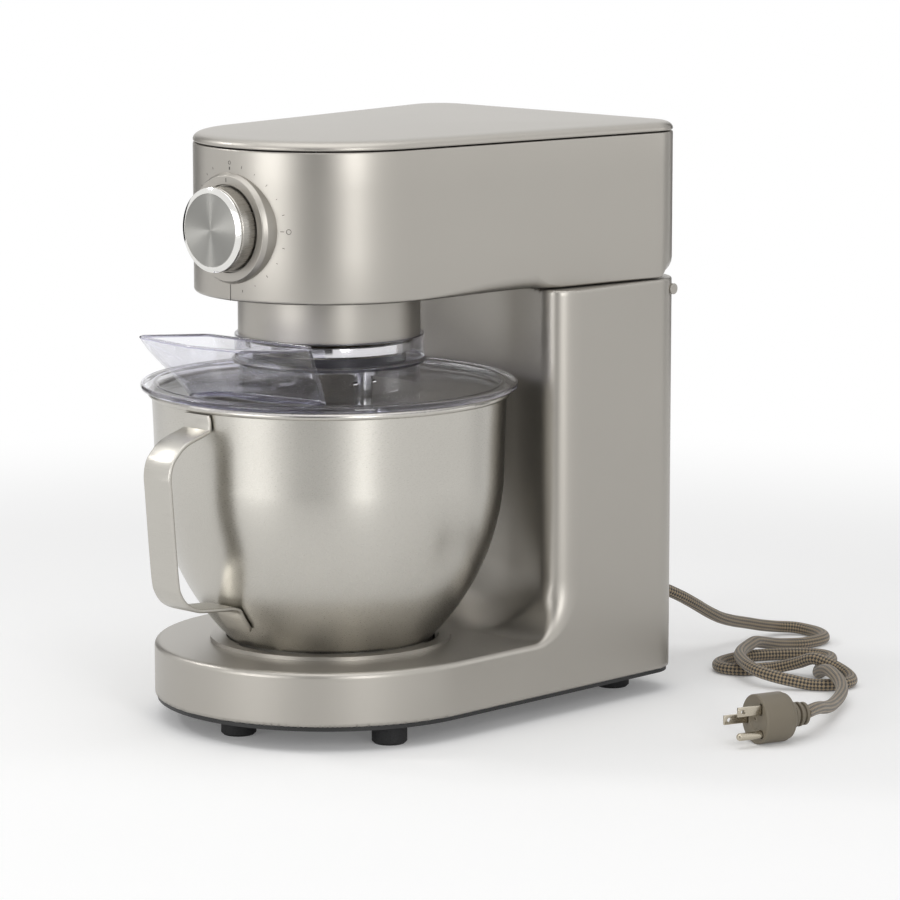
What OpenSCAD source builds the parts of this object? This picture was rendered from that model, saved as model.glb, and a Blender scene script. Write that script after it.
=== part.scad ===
// Tilt-head stand mixer with a bayonet bowl, clear splash lid and pouring chute.
// Millimetres, +Z up, -Y to the front (knob and bowl handle).
// The origin lies on the worktop, under the middle of the machine's width and depth without its cord.
// Inside the file every piece is drawn about the bowl's vertical axis and then shifted by frame_y.

/* [Body] */
// Width across the casing
body_w = 222; // [216:1:240]
// Distance from the bowl axis to the back of the casing
body_back = 213; // [208:1:230]
// Radius of the two back corners
corner_r = 25; // [20:1:30]
// Thickness of the casing walls
wall = 3; // [2:0.5:3.5]
// Height of the casing's lower edge above the worktop
shell_bottom = 16; // [14:1:20]
// Height of the base's top face
base_top = 49.5; // [47:0.5:52]
// Height of the column's top face
column_top = 269.5; // [266:0.5:275]
// Radius of the hollow in the column, behind the bowl
recess_r = 124; // [122:1:126]
// Rounding of the column's two front edges
horn_r = 20; // [16:1:22]
// Fillet between the base and the column
web_r = 50; // [40:1:54]
// Rounding at the bottom of the hollow behind the bowl
cove_r = 40; // [30:1:44]

/* [Head] */
// Gap between the column and the head
seam_gap = 1; // [0.8:0.1:1.5]
// Radius of the head's round front, seen from above
head_front_r = 84; // [80:1:90]
// Height of the head's side walls
head_h = 92.5; // [88:0.5:96]
// Gap between the head and its cover
cover_gap = 0.8; // [0.5:0.1:1]
// Height of the cover
cover_h = 8.7; // [8:0.1:11]
// Rounding of the cover's edge
cover_edge = 7; // [5:0.5:8]
// Outer radius of the neck above the bowl
neck_r = 57; // [56:0.5:58]
// Length of the neck below the head
neck_h = 28.5; // [26:0.5:29.5]

/* [Hinge] */
// Distance from the bowl axis back to the hinge pin
pivot_y = 201; // [199:1:203]
// Height of the hinge pin above the head's floor
pivot_up = 12; // [11:0.5:14]
// Radius of the hinge pin
pin_r = 4; // [3.5:0.5:5]
// Length of the hinge pin
pin_len = 140; // [136:1:150]

/* [Bowl] */
// Outer radius of the bowl below its rim
bowl_r = 111; // [108:0.5:113]
// Height of the rim's top
bowl_top = 208.6; // [206:0.2:209]
// Outer radius at the foot
foot_r = 64.5; // [63:0.5:65]
// Height where the bowl meets its foot ring
foot_z = 52; // [52:0.5:54]
// Sheet thickness
bowl_t = 1.2; // [0.8:0.1:1.6]

/* [Bowl handle] */
// Width of the strap
strap_w = 23.5; // [20:0.5:26]
// Thickness of the strap
strap_t = 2.5; // [2:0.1:3]
// Reach of the grip from the bowl axis
handle_reach = 146.5; // [144:0.5:152]

/* [Lid] */
// Outer radius of the lid's flange
lid_r = 118; // [116:0.5:119]
// Height of the flange's top
lid_top = 213.2; // [213:0.2:214]
// Thickness of the clear plastic
lid_t = 2.2; // [1.8:0.1:2.6]
// Depth of the lid's floor below its rim
lid_drop = 3.4; // [3:0.2:4.4]
// Height of the chute's rim
chute_top = 249; // [244:0.5:252]

/* [Knob and dial] */
// Height of the knob's axis
knob_z = 315; // [310:1:320]
// Radius of the knob's skirt
knob_r = 26; // [24:0.5:28]
// Length of the knob
knob_len = 14.5; // [12:0.5:18]
// Radius of the fixed ring round the knob
dial_r = 34; // [32:0.5:36]

/* [Planetary drive] */
// Radius of the tool shaft's end, which beaters slide onto
tool_r = 5.5; // [5:0.25:5.75]
// Radius of the tool shaft where it runs in the carrier
journal_r = 6; // [6:0.25:7]
// Length of the tool shaft's end
tool_len = 18; // [14:1:20]
// Height of the tool shaft's lower end
tool_end_z = 192; // [186:1:196]
// Radius of the main shaft
main_r = 6; // [5:0.5:7]
// Height of the teeth on the internal ring
ring_h = 9; // [7:1:10]

/* [Motor] */
// Radius of the motor's can
motor_r = 33; // [30:1:36]
// Height of the motor's can
motor_h = 57; // [50:1:60]
// Distance from the bowl axis back to the motor's axis
motor_y = 132; // [130:1:140]

/* [Feet and cord] */
// Radius of a rubber foot
foot_pad_r = 11; // [9:0.5:13]
// Radius of the braided cord
cord_r = 4; // [3.5:0.25:4]
// Radius of the plug's body
plug_r = 15.5; // [15:0.5:17]

/* [Hidden] */
$fn = 96;               // sides of a full circle
eps = 0.01;            // overlap that keeps joined shapes from meeting in a bare face
run = 0.05;            // radial clearance of a running shaft
air = 0.3;             // gap between pieces that move past each other
half_w = body_w / 2;
horn = [half_w - horn_r, sqrt(pow(recess_r + horn_r, 2) - pow(half_w - horn_r, 2))];
back_corner = [half_w - corner_r, body_back - corner_r];
head_z = column_top + seam_gap;
head_top = head_z + head_h;
cover_z = head_top + cover_gap;
pivot_z = head_z + pivot_up;
cover_proud = 1;       // how far the rear cover stands out of the back
frame_y = (body_back + cover_proud - handle_reach) / 2;
plate_h = 3;           // thickness of the base plate
plate_z = shell_bottom - plate_h;
feet_at = [[0, -80], [half_w - 27, -32], [27 - half_w, -32], [half_w - 37, 184], [37 - half_w, 184]];
deck = wall;           // thickness of the tops of the base and the column

PAINT = "#a39f98";
STEEL = "#b9b8b4";
POLISH = "#d8d8d6";
BLACK = "#26262a";
CLEAR = [0.86, 0.87, 0.9, 0.45];
TAUPE = "#86806f";
BRASS = "#b08d4a";
GREEN = "#2f5d43";
CAST = "#8c8f92";

// Casing: seat hole, service opening, cord hole, hinge ears and release button
seat_hole_r = 70.3;
seat_floor_z = 42;     // underside of the bowl seat's floor
cover_win = [2 * 74, 98, 244];   // width, bottom and top of the opening behind the rear cover
gland_at = [50, 56];   // x and z where the cord leaves the back
gland_hole_r = 9;
deck_slot = [[half_w - 34.5, 136], [half_w - 26.5, 158]];   // slot in the column's top for the latch striker
ear_x = [half_w - 63, half_w - 55];   // inner and outer face of a hinge ear
ear_r = 8.5;
button_at = [201, 262];   // y and z of the release button's axis
button_r = 3.5;
base_screw_at = [[60, -60], [-60, -60], [half_w - 13, 60], [13 - half_w, 60], [50, 200], [-50, 200]];

// Bowl seat and its bayonet
lip_r = 66;            // inner radius of the lip over the lugs
seat_r = 76;
seat_wall = [68, 70];  // inner and outer radius of the dish's wall
seat_top = base_top + 2.5;
lug_r = 67.6;
lug_h = 3.2;
lug_span = 24;         // width of a lug, in degrees
seat_base_h = 2.5;
unlock_turn = 30;      // turn that frees the bowl, in degrees

// Rear cover and column frame
rear_screw_at = [[66, 108], [-66, 108], [66, 234], [-66, 234]];
frame_front = 150;     // front face of the column frame
frame_back = body_back - wall - 8.5;
shelf_z = 240;         // underside of the shelf that carries the latch

// Latch
slide_z = shelf_z + 4 + air;
latch_in = half_w - 43;   // inner end of the latch slide
striker_x = [half_w - 32.6, half_w - 28.6];
striker_y = [143, 151];
striker_low = 254.5;
nose_z = 258.5;        // axis of the bolt's nose
post_x = [half_w - 19, half_w - 15];   // post that the release button pushes
spring_r = 3;

// Head and neck
head_bore_r = 50;
lug_x = [half_w - 53, half_w - 45];   // inner and outer face of a head lug on the hinge pin
cover_screw_at = [[44, -54], [-44, -54], [half_w - 49, 40], [49 - half_w, 40], [half_w - 27, 172], [27 - half_w, 172]];
cover_screw_z = head_top - 14;
neck_bearing_z = head_z - 13;
bearing_r = 12.5;
bearing_h = 8;

// Planet gears
ring_teeth = 60;
planet_teeth = 20;
planet_module = 1.5;
ring_pitch_r = ring_teeth * planet_module / 2;
planet_r = planet_teeth * planet_module / 2;
orbit_r = ring_pitch_r - planet_r;
ring_z = 246;

// Reduction gears, pulleys and motor
wheel_teeth = 72;
lay_teeth = 18;
gear_module = 1.25;
wheel_pitch_r = wheel_teeth * gear_module / 2;
lay_pitch_r = lay_teeth * gear_module / 2;
layshaft_y = wheel_pitch_r + lay_pitch_r;
lay_r = 4;             // radius of the layshaft
wheel_z = 284;
wheel_h = 9;
gear_plate_z = 322;
gear_plate_h = 6;
pulley_z = 336;
pulley_h = 12;
big_pulley_r = 34;
small_pulley_r = 10;
motor_z = 276;
motor_shaft_r = 3;
plate_post_at = [[48, -26], [-48, -26], [47, 82], [-47, 82]];
belt_t = 1.6;
belt_h = 8;

// Hub and tool shaft
hub_r = 53;
hub_top = 241.5;
hub_low = 226;
tool_pin_r = 1.5;
tool_pin_z = tool_end_z + tool_len + 4;

// Dial and knob: the knob's back edge sits in a shallow well in the dial
dial_face = -head_front_r - 3;
well_gap = 0.8;
well_floor = dial_face + 2;
knob_back = dial_face + 1;
knob_face = knob_back - knob_len;
shaft_tip = knob_back - 9;
board_y = -62;

// Bowl's side, as an arc
arc_r = 152.3;
arc_z = 160;           // height where the side stands upright
wall_r = bowl_r - 1.5; // radius there
// Centre line of the strap in the plane x = 0, as [y, z]: the top tab, the grip and the lower arm.
tab_y = bowl_r + 0.1 + strap_t / 2;
grip_y = handle_reach - strap_t / 2;
strap_upper = [[-tab_y, bowl_top - 4.4], [-tab_y, 195.5], [-tab_y - 2.2, 193.6], [-131.5, 188.2], [-140, 181.5],
               [1.6 - grip_y, 176.5], [-grip_y, 169], [0.6 - grip_y, 160], [-141.6, 122.5], [-139.6, 103],
               [-137.5, 96.3], [-132.6, 90], [-125.5, 86], [-118, 84.3], [-97, 82.4], [-92.5, 81.6]];
// The lower tab follows the bowl.
tab_gap = strap_t / 2 + 0.1;
strap_lower = [for (z = [80.5, 76, 71.5, 67])
    let (n = [sqrt(arc_r * arc_r - pow(arc_z - z, 2)), z - arc_z] / arc_r)
    [-(arc_at(z, 0) + tab_gap * n[0]), z + tab_gap * n[1]]];

// Lid and chute
collar_r = neck_r + 0.5;
collar_z = [226, 243.5];
throat_r = 54.2;
opening_mid_r = bowl_r - 27;   // radius of the pouring opening's middle line
opening_half = 14;     // half the opening's width
opening_span = [260, 303];     // its two ends, in degrees
// Rounded corners of the chute's rim, as [x, y, radius], and of its foot.
chute_rim = [for (c = [[-38, -34, 5], [-14, -10, 9], [64, -6, 9], [62, -16, 10], [44, -30, 11], [12, -36, 11]])
    [c[0], c[1] - opening_mid_r, c[2]]];
chute_foot = [for (a = [opening_span[0], 274, 289, opening_span[1]])
    [opening_mid_r * cos(a), opening_mid_r * sin(a), opening_half + lid_t]];

// Cord and plug
cord_start = [gland_at[0], body_back + 14, gland_at[1]];
// Route of the cord's centre line, chosen by hand.
cord_path = [[50, 227, 56], [50, 240, 56], [52, 256, 52], [54, 272, 45], [54, 288, 37], [52, 304, 29],
    [50, 320, 22], [48, 336, 17], [47, 352, 13], [47, 368, 9], [48, 383, 6], [56, 393, 5],
    [68, 396, 4], [80, 392, 4], [89, 384, 4], [92, 373, 4], [91, 360, 4], [88, 347, 5], [88, 334, 7],
    [89, 321, 10], [92, 307, 13], [97, 294, 13], [103, 281, 13], [111, 269, 13], [121, 259, 13],
    [133, 251, 12], [145, 248, 10], [157, 250, 8], [168, 255, 6], [178, 262, 4], [186, 268, 4],
    [191, 277, 4], [190, 287, 4], [184, 294, 5], [175, 296, 8], [165, 295, 11], [154, 293, 13],
    [143, 292, 9], [134, 289, 6], [126, 283, 4], [122, 274, 4], [116, 265, 4], [106, 261, 4],
    [97, 264, 4], [91, 272, 4], [89, 284, 4], [90, 297, 4], [95, 310, 4], [103, 322, 4], [112, 332, 4],
    [122, 338, 4], [132, 337, 4], [139, 330, 4], [144, 319, 4], [149, 307, 4], [156, 296, 4],
    [164, 287, 6], [173, 279, 10], [184, 271, 13], [196, 263, 13], [208, 254, 11], [218, 243, 9],
    [226, 230, 8], [233, 217, 8], [240, 204, 9], [246, 191, 11], [252, 178, 14], [257, 165, 15.5],
    [260, 155, 15.5]];
cord_sides = 8;        // sides of the cord's tube
plug_rear = [260, 155, 15.5];
plug_yaw = -18;         // turn of the plug's axis from straight ahead
relief_len = 12;       // length of the plug's strain relief
plug_len = 25;
prong_len = 17;
prong_at = [[7.5, 7.5], [-8.5, -0.5], [7.5, -8]];   // x and z of each prong about the plug's axis

// ---------------------------------------------------------------- shared shapes
module from_bowl() { translate([0, -frame_y, 0]) children(); }

// Point where a line that touches circles a and b on their right side leaves circle a.
function touch_normal(a, ra, b, rb) =
    let (d = b - a, len = norm(d), turn = acos((ra - rb) / len), head = atan2(d[1], d[0]))
    [cos(head - turn), sin(head - turn)];

// Point where a string pulled round the circles [x, y, radius] faces direction t.
function edge_point(circles, t) =
    let (d = [cos(t), sin(t)],
         reach = [for (c = circles) c[0] * d[0] + c[1] * d[1] + c[2]],
         c = [for (i = [0 : len(circles) - 1]) if (reach[i] == max(reach)) circles[i]][0])
    [c[0] + c[2] * d[0], c[1] + c[2] * d[1]];

// Solid through rings of points, each counter-clockwise seen along the way.
// A looped one returns from its last ring to its first, and has no ends.
module loft(rings, looped = false) {
    n = len(rings[0]);
    m = len(rings);
    polyhedron(points = [for (r = rings) each r], faces = concat(
        looped ? [] : [[for (k = [0 : n - 1]) k], [for (k = [n - 1 : -1 : 0]) (m - 1) * n + k]],
        [for (j = [0 : looped ? m - 1 : m - 2], k = [0 : n - 1]) let (up = (j + 1) % m * n, next = (k + 1) % n)
            [j * n + k, up + k, up + next, j * n + next]]));
}

// A tube along Z.
module tube(r_out, r_in, h, z = 0) {
    translate([0, 0, z]) difference() {
        cylinder(r = r_out, h = h);
        translate([0, 0, -1]) cylinder(r = r_in, h = h + 2);
    }
}

// A box given by its two corners.
module block(low, high) {
    translate(low) cube(high - low);
}

// A cylinder along X, from x0 to x1.
module bar_x(r, x0, x1, y, z) {
    translate([x0, y, z]) rotate([0, 90, 0]) cylinder(r = r, h = x1 - x0);
}

// A cylinder along Y, from y0 to y1.
module bar_y(r, y0, y1, x, z) {
    translate([x, y1, z]) rotate([90, 0, 0]) cylinder(r = r, h = y1 - y0);
}

module both_sides() {
    children();
    mirror([1, 0, 0]) children();
}

// A ring of the same thing, n times round the Z axis.
module around(n, start = 0) {
    for (i = [0 : n - 1]) rotate([0, 0, start + i * 360 / n]) children();
}

// Outline of a spur gear: one trapezoid a tooth, thinned for running play.
module gear_outline(teeth, pitch_r, depth, internal = false) {
    pitch = 360 / teeth;
    low = internal ? -0.4 : -0.55;
    high = internal ? 0.55 : 0.4;
    root = pitch_r + depth * low;
    tip = pitch_r + depth * high;
    root_half = pitch * (internal ? 0.33 : 0.27);
    tip_half = pitch * (internal ? 0.2 : 0.12);
    polygon([for (i = [0 : teeth - 1], k = [[root, -root_half], [tip, -tip_half], [tip, tip_half], [root, root_half]])
        let (a = i * pitch + k[1]) k[0] * [cos(a), sin(a)]]);
}

// A pan-head screw with its head at z = 0 and its shank going up.
module screw(shank_r, length, head_r, head_h) {
    translate([0, 0, -head_h]) cylinder(r = head_r, h = head_h);
    cylinder(r = shank_r, h = length);
}

// ---------------------------------------------------------------- plans
// Plan of the base, drawn in by inset.
module base_plan(inset = 0) {
    r = corner_r - inset;
    circle(r = half_w - inset);
    translate([-half_w + inset, 0]) square([body_w - 2 * inset, back_corner[1]]);
    translate([-back_corner[0], 0]) square([2 * back_corner[0], body_back - inset]);
    for (side = [-1, 1]) translate([side * back_corner[0], back_corner[1]]) circle(r = r);
}

// Plan of the column: two round horns and the hollow for the bowl.
module column_plan(inset = 0) {
    toward = horn / norm(horn);
    touch = toward * (recess_r + inset);
    difference() {
        union() {
            translate([-half_w + inset, horn[1]])
                square([body_w - 2 * inset, back_corner[1] - horn[1]]);
            translate([-back_corner[0], horn[1]])
                square([2 * back_corner[0], body_back - inset - horn[1]]);
            for (side = [-1, 1]) {
                translate([side * back_corner[0], back_corner[1]]) circle(r = corner_r - inset);
                translate([side * horn[0], horn[1]]) circle(r = horn_r - inset);
            }
            polygon([[-horn[0], horn[1] + 1], [-horn[0], horn[1]], [-touch[0], touch[1]],
                     [touch[0], touch[1]], [horn[0], horn[1]], [horn[0], horn[1] + 1]]);
        }
        circle(r = recess_r + inset);
    }
}

// Plan of the head: a round front and straight sides that run out to the back corners.
module head_plan(inset = 0) {
    front = head_front_r - inset;
    rear = corner_r - inset;
    n = touch_normal([0, 0], head_front_r, back_corner, corner_r);
    side = back_corner + n * rear;
    nose = n * front;
    circle(r = front);
    for (s = [-1, 1]) translate([s * back_corner[0], back_corner[1]]) circle(r = rear);
    polygon([[-nose[0], nose[1]], nose, side, back_corner, [back_corner[0], body_back - inset],
             [-back_corner[0], body_back - inset], [-back_corner[0], back_corner[1]], [-side[0], side[1]]]);
}

// ---------------------------------------------------------------- body
// Outline of the concave flare where a round edge of radius r0 spreads into the base.
module flare(r0) {
    translate([0, 0, base_top]) rotate_extrude() difference() {
        square([r0 + web_r, web_r]);
        translate([r0 + web_r, web_r]) circle(r = web_r);
    }
}

// The hollow behind the bowl, with a coved bottom.
module recess_cut() {
    low = base_top;
    rotate_extrude() {
        translate([0, low]) square([recess_r - cove_r, column_top - low + 1]);
        translate([0, low + cove_r]) square([recess_r, column_top - low - cove_r + 1]);
        intersection() {
            translate([recess_r - cove_r, low + cove_r]) circle(r = cove_r);
            translate([0, low]) square([recess_r, cove_r]);
        }
    }
}

module body_shell() {
    color(PAINT) from_bowl() difference() {
        union() {
            translate([0, 0, shell_bottom]) linear_extrude(base_top - shell_bottom) base_plan();
            translate([0, 0, base_top - 1]) linear_extrude(column_top - base_top + 1) column_plan();
            difference() {
                intersection() {
                    both_sides() translate([horn[0], horn[1], 0]) flare(horn_r);
                    translate([0, 0, base_top - 1]) linear_extrude(web_r + 2) base_plan();
                }
                recess_cut();
            }
        }
        // inside of the base, round the bosses that the base plate's screws bite into
        difference() {
            translate([0, 0, shell_bottom - 1])
                linear_extrude(base_top - deck - shell_bottom + 1) base_plan(wall);
            for (p = base_screw_at) translate([p[0], p[1], shell_bottom]) cylinder(r = 6, h = base_top - shell_bottom);
        }
        for (p = base_screw_at) translate([p[0], p[1], shell_bottom - 1]) cylinder(r = 2 + run, h = 16);
        // inside of the column
        translate([0, 0, base_top - deck - 1])
            linear_extrude(column_top - deck - base_top + deck + 1) column_plan(wall);
        // hole for the bowl seat
        translate([0, 0, base_top - deck - 1]) cylinder(r = seat_hole_r, h = deck + 2);
        // service opening in the back
        block([-cover_win[0] / 2, body_back - wall - 1, cover_win[1]],
              [cover_win[0] / 2, body_back + 1, cover_win[2]]);
        // hole for the cord gland
        bar_y(gland_hole_r, body_back - wall - 1, body_back + 1, gland_at[0], gland_at[1]);
        // slots for the hinge ears and for the latch striker
        both_sides() block([ear_x[0] - 1, pivot_y - ear_r - 1, column_top - deck - 1],
                           [ear_x[1] + 1, pivot_y + ear_r + 1, column_top + 1]);
        block([deck_slot[0][0], deck_slot[0][1], column_top - deck - 1],
              [deck_slot[1][0], deck_slot[1][1], column_top + 1]);
        // hole for the release button
        bar_x(button_r + air, half_w - corner_r, half_w + 1, button_at[0], button_at[1]);
    }
}

module base_plate() {
    color(BLACK) from_bowl() difference() {
        translate([0, 0, plate_z]) linear_extrude(plate_h) base_plan(1.5);
        for (p = feet_at) translate([p[0], p[1], plate_z - 1]) cylinder(r = 4 + run, h = plate_h + 2);
        for (p = base_screw_at) translate([p[0], p[1], plate_z - 1]) cylinder(r = 2.5, h = plate_h + 2);
    }
}

module base_screws() {
    color(STEEL) from_bowl() for (p = base_screw_at)
        translate([p[0], p[1], plate_z]) screw(2, 14, 4, 2.2);
}

// Rubber feet, each with a stem pressed through the base plate.
module feet() {
    color(BLACK) from_bowl() for (p = feet_at) translate([p[0], p[1], 0]) difference() {
        union() {
            rotate_extrude() polygon([[0, 0], [foot_pad_r - 1.5, 0], [foot_pad_r, 1.5],
                                      [foot_pad_r, plate_z], [0, plate_z]]);
            cylinder(r = 4, h = shell_bottom + 3);
        }
        translate([0, 0, -1]) cylinder(r = 4, h = 3);
    }
}

// Bayonet seat: a dish in the base whose inner lip holds the bowl's lugs down.
module bowl_seat() {
    floor_top = seat_floor_z + seat_base_h;
    color(POLISH) from_bowl() difference() {
        union() {
            translate([0, 0, seat_floor_z]) cylinder(r = seat_wall[1], h = seat_base_h);
            tube(seat_wall[1], seat_wall[0], seat_top - seat_floor_z, seat_floor_z);
            tube(seat_r, seat_wall[0] - 1, seat_top - base_top, base_top);
            tube(seat_wall[0] + 1, lip_r, seat_top - floor_top - lug_h - 2 * air, floor_top + lug_h + 2 * air);
        }
        // notches that let the lugs through
        around(3, unlock_turn) rotate([0, 0, -lug_span / 2 - 2]) translate([0, 0, floor_top + 0.5])
            rotate_extrude(angle = lug_span + 4) square([seat_wall[0] + 0.4, 20]);
        around(4, 45) translate([50, 0, seat_floor_z - 1]) cylinder(r = 2.2, h = seat_base_h + 2);
    }
}

// Screws that hold the seat to the cross of ribs below it.
module seat_screws() {
    color(STEEL) from_bowl() around(4, 45)
        translate([50, 0, seat_floor_z + seat_base_h]) mirror([0, 0, 1]) screw(2, 14, 3.6, 1.5);
}

// Cast ribs under the seat, standing on the base plate.
module seat_support() {
    color(CAST) from_bowl() difference() {
        union() {
            around(4, 45) translate([50, 0, shell_bottom]) cylinder(r = 7, h = seat_floor_z - shell_bottom);
            translate([0, 0, seat_floor_z - 4]) difference() {
                cylinder(r = 58, h = 4);
                translate([0, 0, -1]) cylinder(r = 42, h = 6);
            }
        }
        around(4, 45) translate([50, 0, seat_floor_z - 15]) cylinder(r = 2 + run, h = 16);
    }
}

module rear_cover() {
    x = cover_win[0] / 2 - air;
    color(PAINT) from_bowl() difference() {
        union() {
            block([-x, body_back - wall, cover_win[1] + air], [x, body_back + cover_proud, cover_win[2] - air]);
            for (p = rear_screw_at) bar_y(5, body_back - 12, body_back - wall + eps, p[0], p[1]);
        }
        for (p = rear_screw_at) {
            bar_y(2 + run, body_back - 13, body_back + 2, p[0], p[1]);
            bar_y(4, body_back - 1.5, body_back + 2, p[0], p[1]);
        }
        // slots that let the warm air out
        for (i = [0 : 8]) block([-30, body_back - wall - 1, 176 + i * 6], [30, body_back + 2, 178.5 + i * 6]);
    }
}

module rear_cover_screws() {
    color(STEEL) from_bowl() for (p = rear_screw_at) {
        bar_y(2, body_back - 18, body_back - 1.5, p[0], p[1]);
        bar_y(3.6, body_back - 1.5, body_back + cover_proud - 0.2, p[0], p[1]);
    }
}

// Steel frame in the column: two side plates on the base plate, with the hinge ears on top.
module column_frame() {
    color(CAST) from_bowl() difference() {
        union() {
            both_sides() {
                block([ear_x[0], frame_front, shell_bottom], [ear_x[1], frame_back, column_top - deck - 2]);
                block([ear_x[0], pivot_y - ear_r, column_top - deck - 6], [ear_x[1], pivot_y + ear_r, pivot_z]);
                bar_x(ear_r, ear_x[0], ear_x[1], pivot_y, pivot_z);
                for (p = rear_screw_at) if (p[0] > 0)
                    block([ear_x[1] - 1, body_back - 22, p[1] - 6], [p[0] + 6, body_back - 12, p[1] + 6]);
            }
            block([-ear_x[1], frame_front, shell_bottom], [ear_x[1], frame_back, shell_bottom + 4]);
            block([-ear_x[1], frame_front, 120], [ear_x[1], frame_front + 4, 150]);
            block([-ear_x[1], frame_front, 225], [ear_x[1], frame_front + 4, 255]);
            // shelf that carries the latch slide
            block([ear_x[1] - 1, frame_front, shelf_z], [half_w - 10, frame_back - 3, shelf_z + 4]);
        }
        bar_x(pin_r + run, -half_w, half_w, pivot_y, pivot_z);
        for (p = rear_screw_at) bar_y(2 + run, body_back - 30, body_back, p[0], p[1]);
        translate([base_screw_at[4][0], base_screw_at[4][1], 0]) cylinder(r = 7, h = shell_bottom + 40);
        translate([base_screw_at[5][0], base_screw_at[5][1], 0]) cylinder(r = 7, h = shell_bottom + 40);
    }
}

module hinge_pin() {
    color(STEEL) from_bowl() {
        bar_x(pin_r, -pin_len / 2, pin_len / 2, pivot_y, pivot_z);
        both_sides() bar_x(pin_r + 1.5, pin_len / 2, pin_len / 2 + 1.5, pivot_y, pivot_z);
    }
}

module power_board() {
    color(GREEN) from_bowl() block([-40, frame_front + 12, 60], [40, frame_front + 14, 200]);
}

// Pillars between the cross rail and the power board, and the board's large parts.
module power_parts() {
    color(BLACK) from_bowl() {
        for (x = [-30, 30], z = [128, 142]) bar_y(3, frame_front + 4, frame_front + 12, x, z);
        bar_y(13, frame_front + 14, frame_front + 42, -18, 90);
        block([4, frame_front + 14, 72], [32, frame_front + 34, 108]);
        block([-34, frame_front + 14, 150], [34, frame_front + 24, 190]);
    }
}

module terminal_block() {
    color("#d9d4c8") from_bowl() difference() {
        block([24, body_back - wall - 34, shell_bottom + 4], [45, body_back - wall - 22, shell_bottom + 22]);
        for (i = [0 : 2]) translate([28.5 + 6 * i, body_back - wall - 28, shell_bottom + 14])
            cylinder(r = 1.8, h = 10);
    }
}

module safety_switch() {
    color(BLACK) from_bowl() {
        block([-38, 165, column_top - deck - 20], [-18, 176, column_top - deck]);
        bar_x(1.5, -41, -15, 170.5, column_top - deck - 10);
    }
}

// ---------------------------------------------------------------- latch

module release_button() {
    color(PAINT) from_bowl() bar_x(button_r, post_x[1], half_w - 1.2, button_at[0], button_at[1]);
}

// Slide that the button pushes inwards, with the bolt that holds the head's striker.
module latch_bolt() {
    color(STEEL) from_bowl() {
        block([latch_in, 140, slide_z], [post_x[1], 204, slide_z + 2.5]);
        block([post_x[0], 197, slide_z + 2], [post_x[1], 204, button_at[1] + 3]);
        block([latch_in, 141, slide_z + 2], [latch_in + 5, 164, nose_z + 4]);
        bar_x(2.5, latch_in + 4, striker_x[0] - air, (striker_y[0] + striker_y[1]) / 2, nose_z);
    }
}

module latch_spring() {
    color(STEEL) from_bowl() translate([ear_x[1] + air, 158, slide_z + 10]) rotate([0, 90, 0])
        linear_extrude(latch_in - ear_x[1] - 2 * air, twist = -360 * 5, slices = 60, $fn = 8)
            translate([spring_r, 0]) circle(r = 0.6, $fn = 8);
}

// Tab under the head that the latch bolt catches.
module latch_striker() {
    color(STEEL) from_bowl() difference() {
        block([striker_x[0], striker_y[0], striker_low], [striker_x[1], striker_y[1], head_z]);
        bar_x(2.8, striker_x[0] - 1, striker_x[1] + 1, (striker_y[0] + striker_y[1]) / 2, nose_z);
    }
}

// ---------------------------------------------------------------- head

module head_shell() {
    color(PAINT) from_bowl() difference() {
        union() {
            difference() {
                translate([0, 0, head_z]) linear_extrude(head_h) head_plan();
                translate([0, 0, head_z + wall]) linear_extrude(head_h) head_plan(wall);
            }
            both_sides() {
                block([lug_x[0], pivot_y - 8, head_z + 1], [lug_x[1], pivot_y + 8, pivot_z]);
                bar_x(8, lug_x[0], lug_x[1], pivot_y, pivot_z);
            }
            for (p = cover_screw_at) translate([p[0], p[1], head_z + 1]) cylinder(r = 5, h = head_h - 1);
        }
        // rear lower edge, round about the hinge
        difference() {
            block([-half_w - 1, pivot_y, head_z - 1], [half_w + 1, body_back + 1, pivot_z]);
            bar_x(pivot_up, -half_w - 2, half_w + 2, pivot_y, pivot_z);
        }
        // opening into the neck
        translate([0, 0, head_z - 1]) cylinder(r = head_bore_r, h = wall + 2);
        // slots for the frame's ears
        both_sides() block([ear_x[0] - 0.6, pivot_y - ear_r - 1, head_z - 1], [ear_x[1] + 0.6, body_back + 1, pivot_z + 4.5]);
        bar_x(pin_r + run, -lug_x[1] - 1, lug_x[1] + 1, pivot_y, pivot_z);
        // hole for the knob's shaft
        bar_y(4, -head_front_r - 5, -head_front_r + 10, 0, knob_z);
        for (p = cover_screw_at) {
            translate([p[0], p[1], cover_screw_z - 1]) cylinder(r = 1.8, h = 20);
            translate([p[0], p[1], head_z - 1]) cylinder(r = 3.6, h = cover_screw_z - head_z + 1);
        }
    }
}

// Plan level of the cover's rounded edge: how far in, and how high.
function edge_step(a) = [cover_edge * (1 - cos(a)), cover_h - 1.5 - cover_edge + cover_edge * sin(a)];
function cover_ring(inset, z, shrink = [1, 1], shift = 0) = [for (t = [0 : 5 : 355])
    let (q = edge_point([[0, 0, head_front_r - inset], [back_corner[0], back_corner[1], corner_r - inset],
                         [-back_corner[0], back_corner[1], corner_r - inset]], t))
    [q[0] * shrink[0], q[1] * shrink[1] + shift, z]];

module head_cover() {
    color(PAINT) from_bowl() difference() {
        loft([cover_ring(0, cover_z),
              for (a = [15 : 15 : 90]) cover_ring(edge_step(a)[0], cover_z + edge_step(a)[1]),
              cover_ring(cover_edge, cover_z + cover_h, [0.55, 0.82], 10)]);
        difference() {
            translate([0, 0, cover_z - 1]) linear_extrude(cover_h - wall - 0.5) head_plan(wall + 1);
            for (p = cover_screw_at) translate([p[0], p[1], cover_z]) cylinder(r = 5, h = cover_h);
        }
        for (p = cover_screw_at) translate([p[0], p[1], cover_z - 1]) cylinder(r = 1.8, h = 4.6);
    }
}

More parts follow.
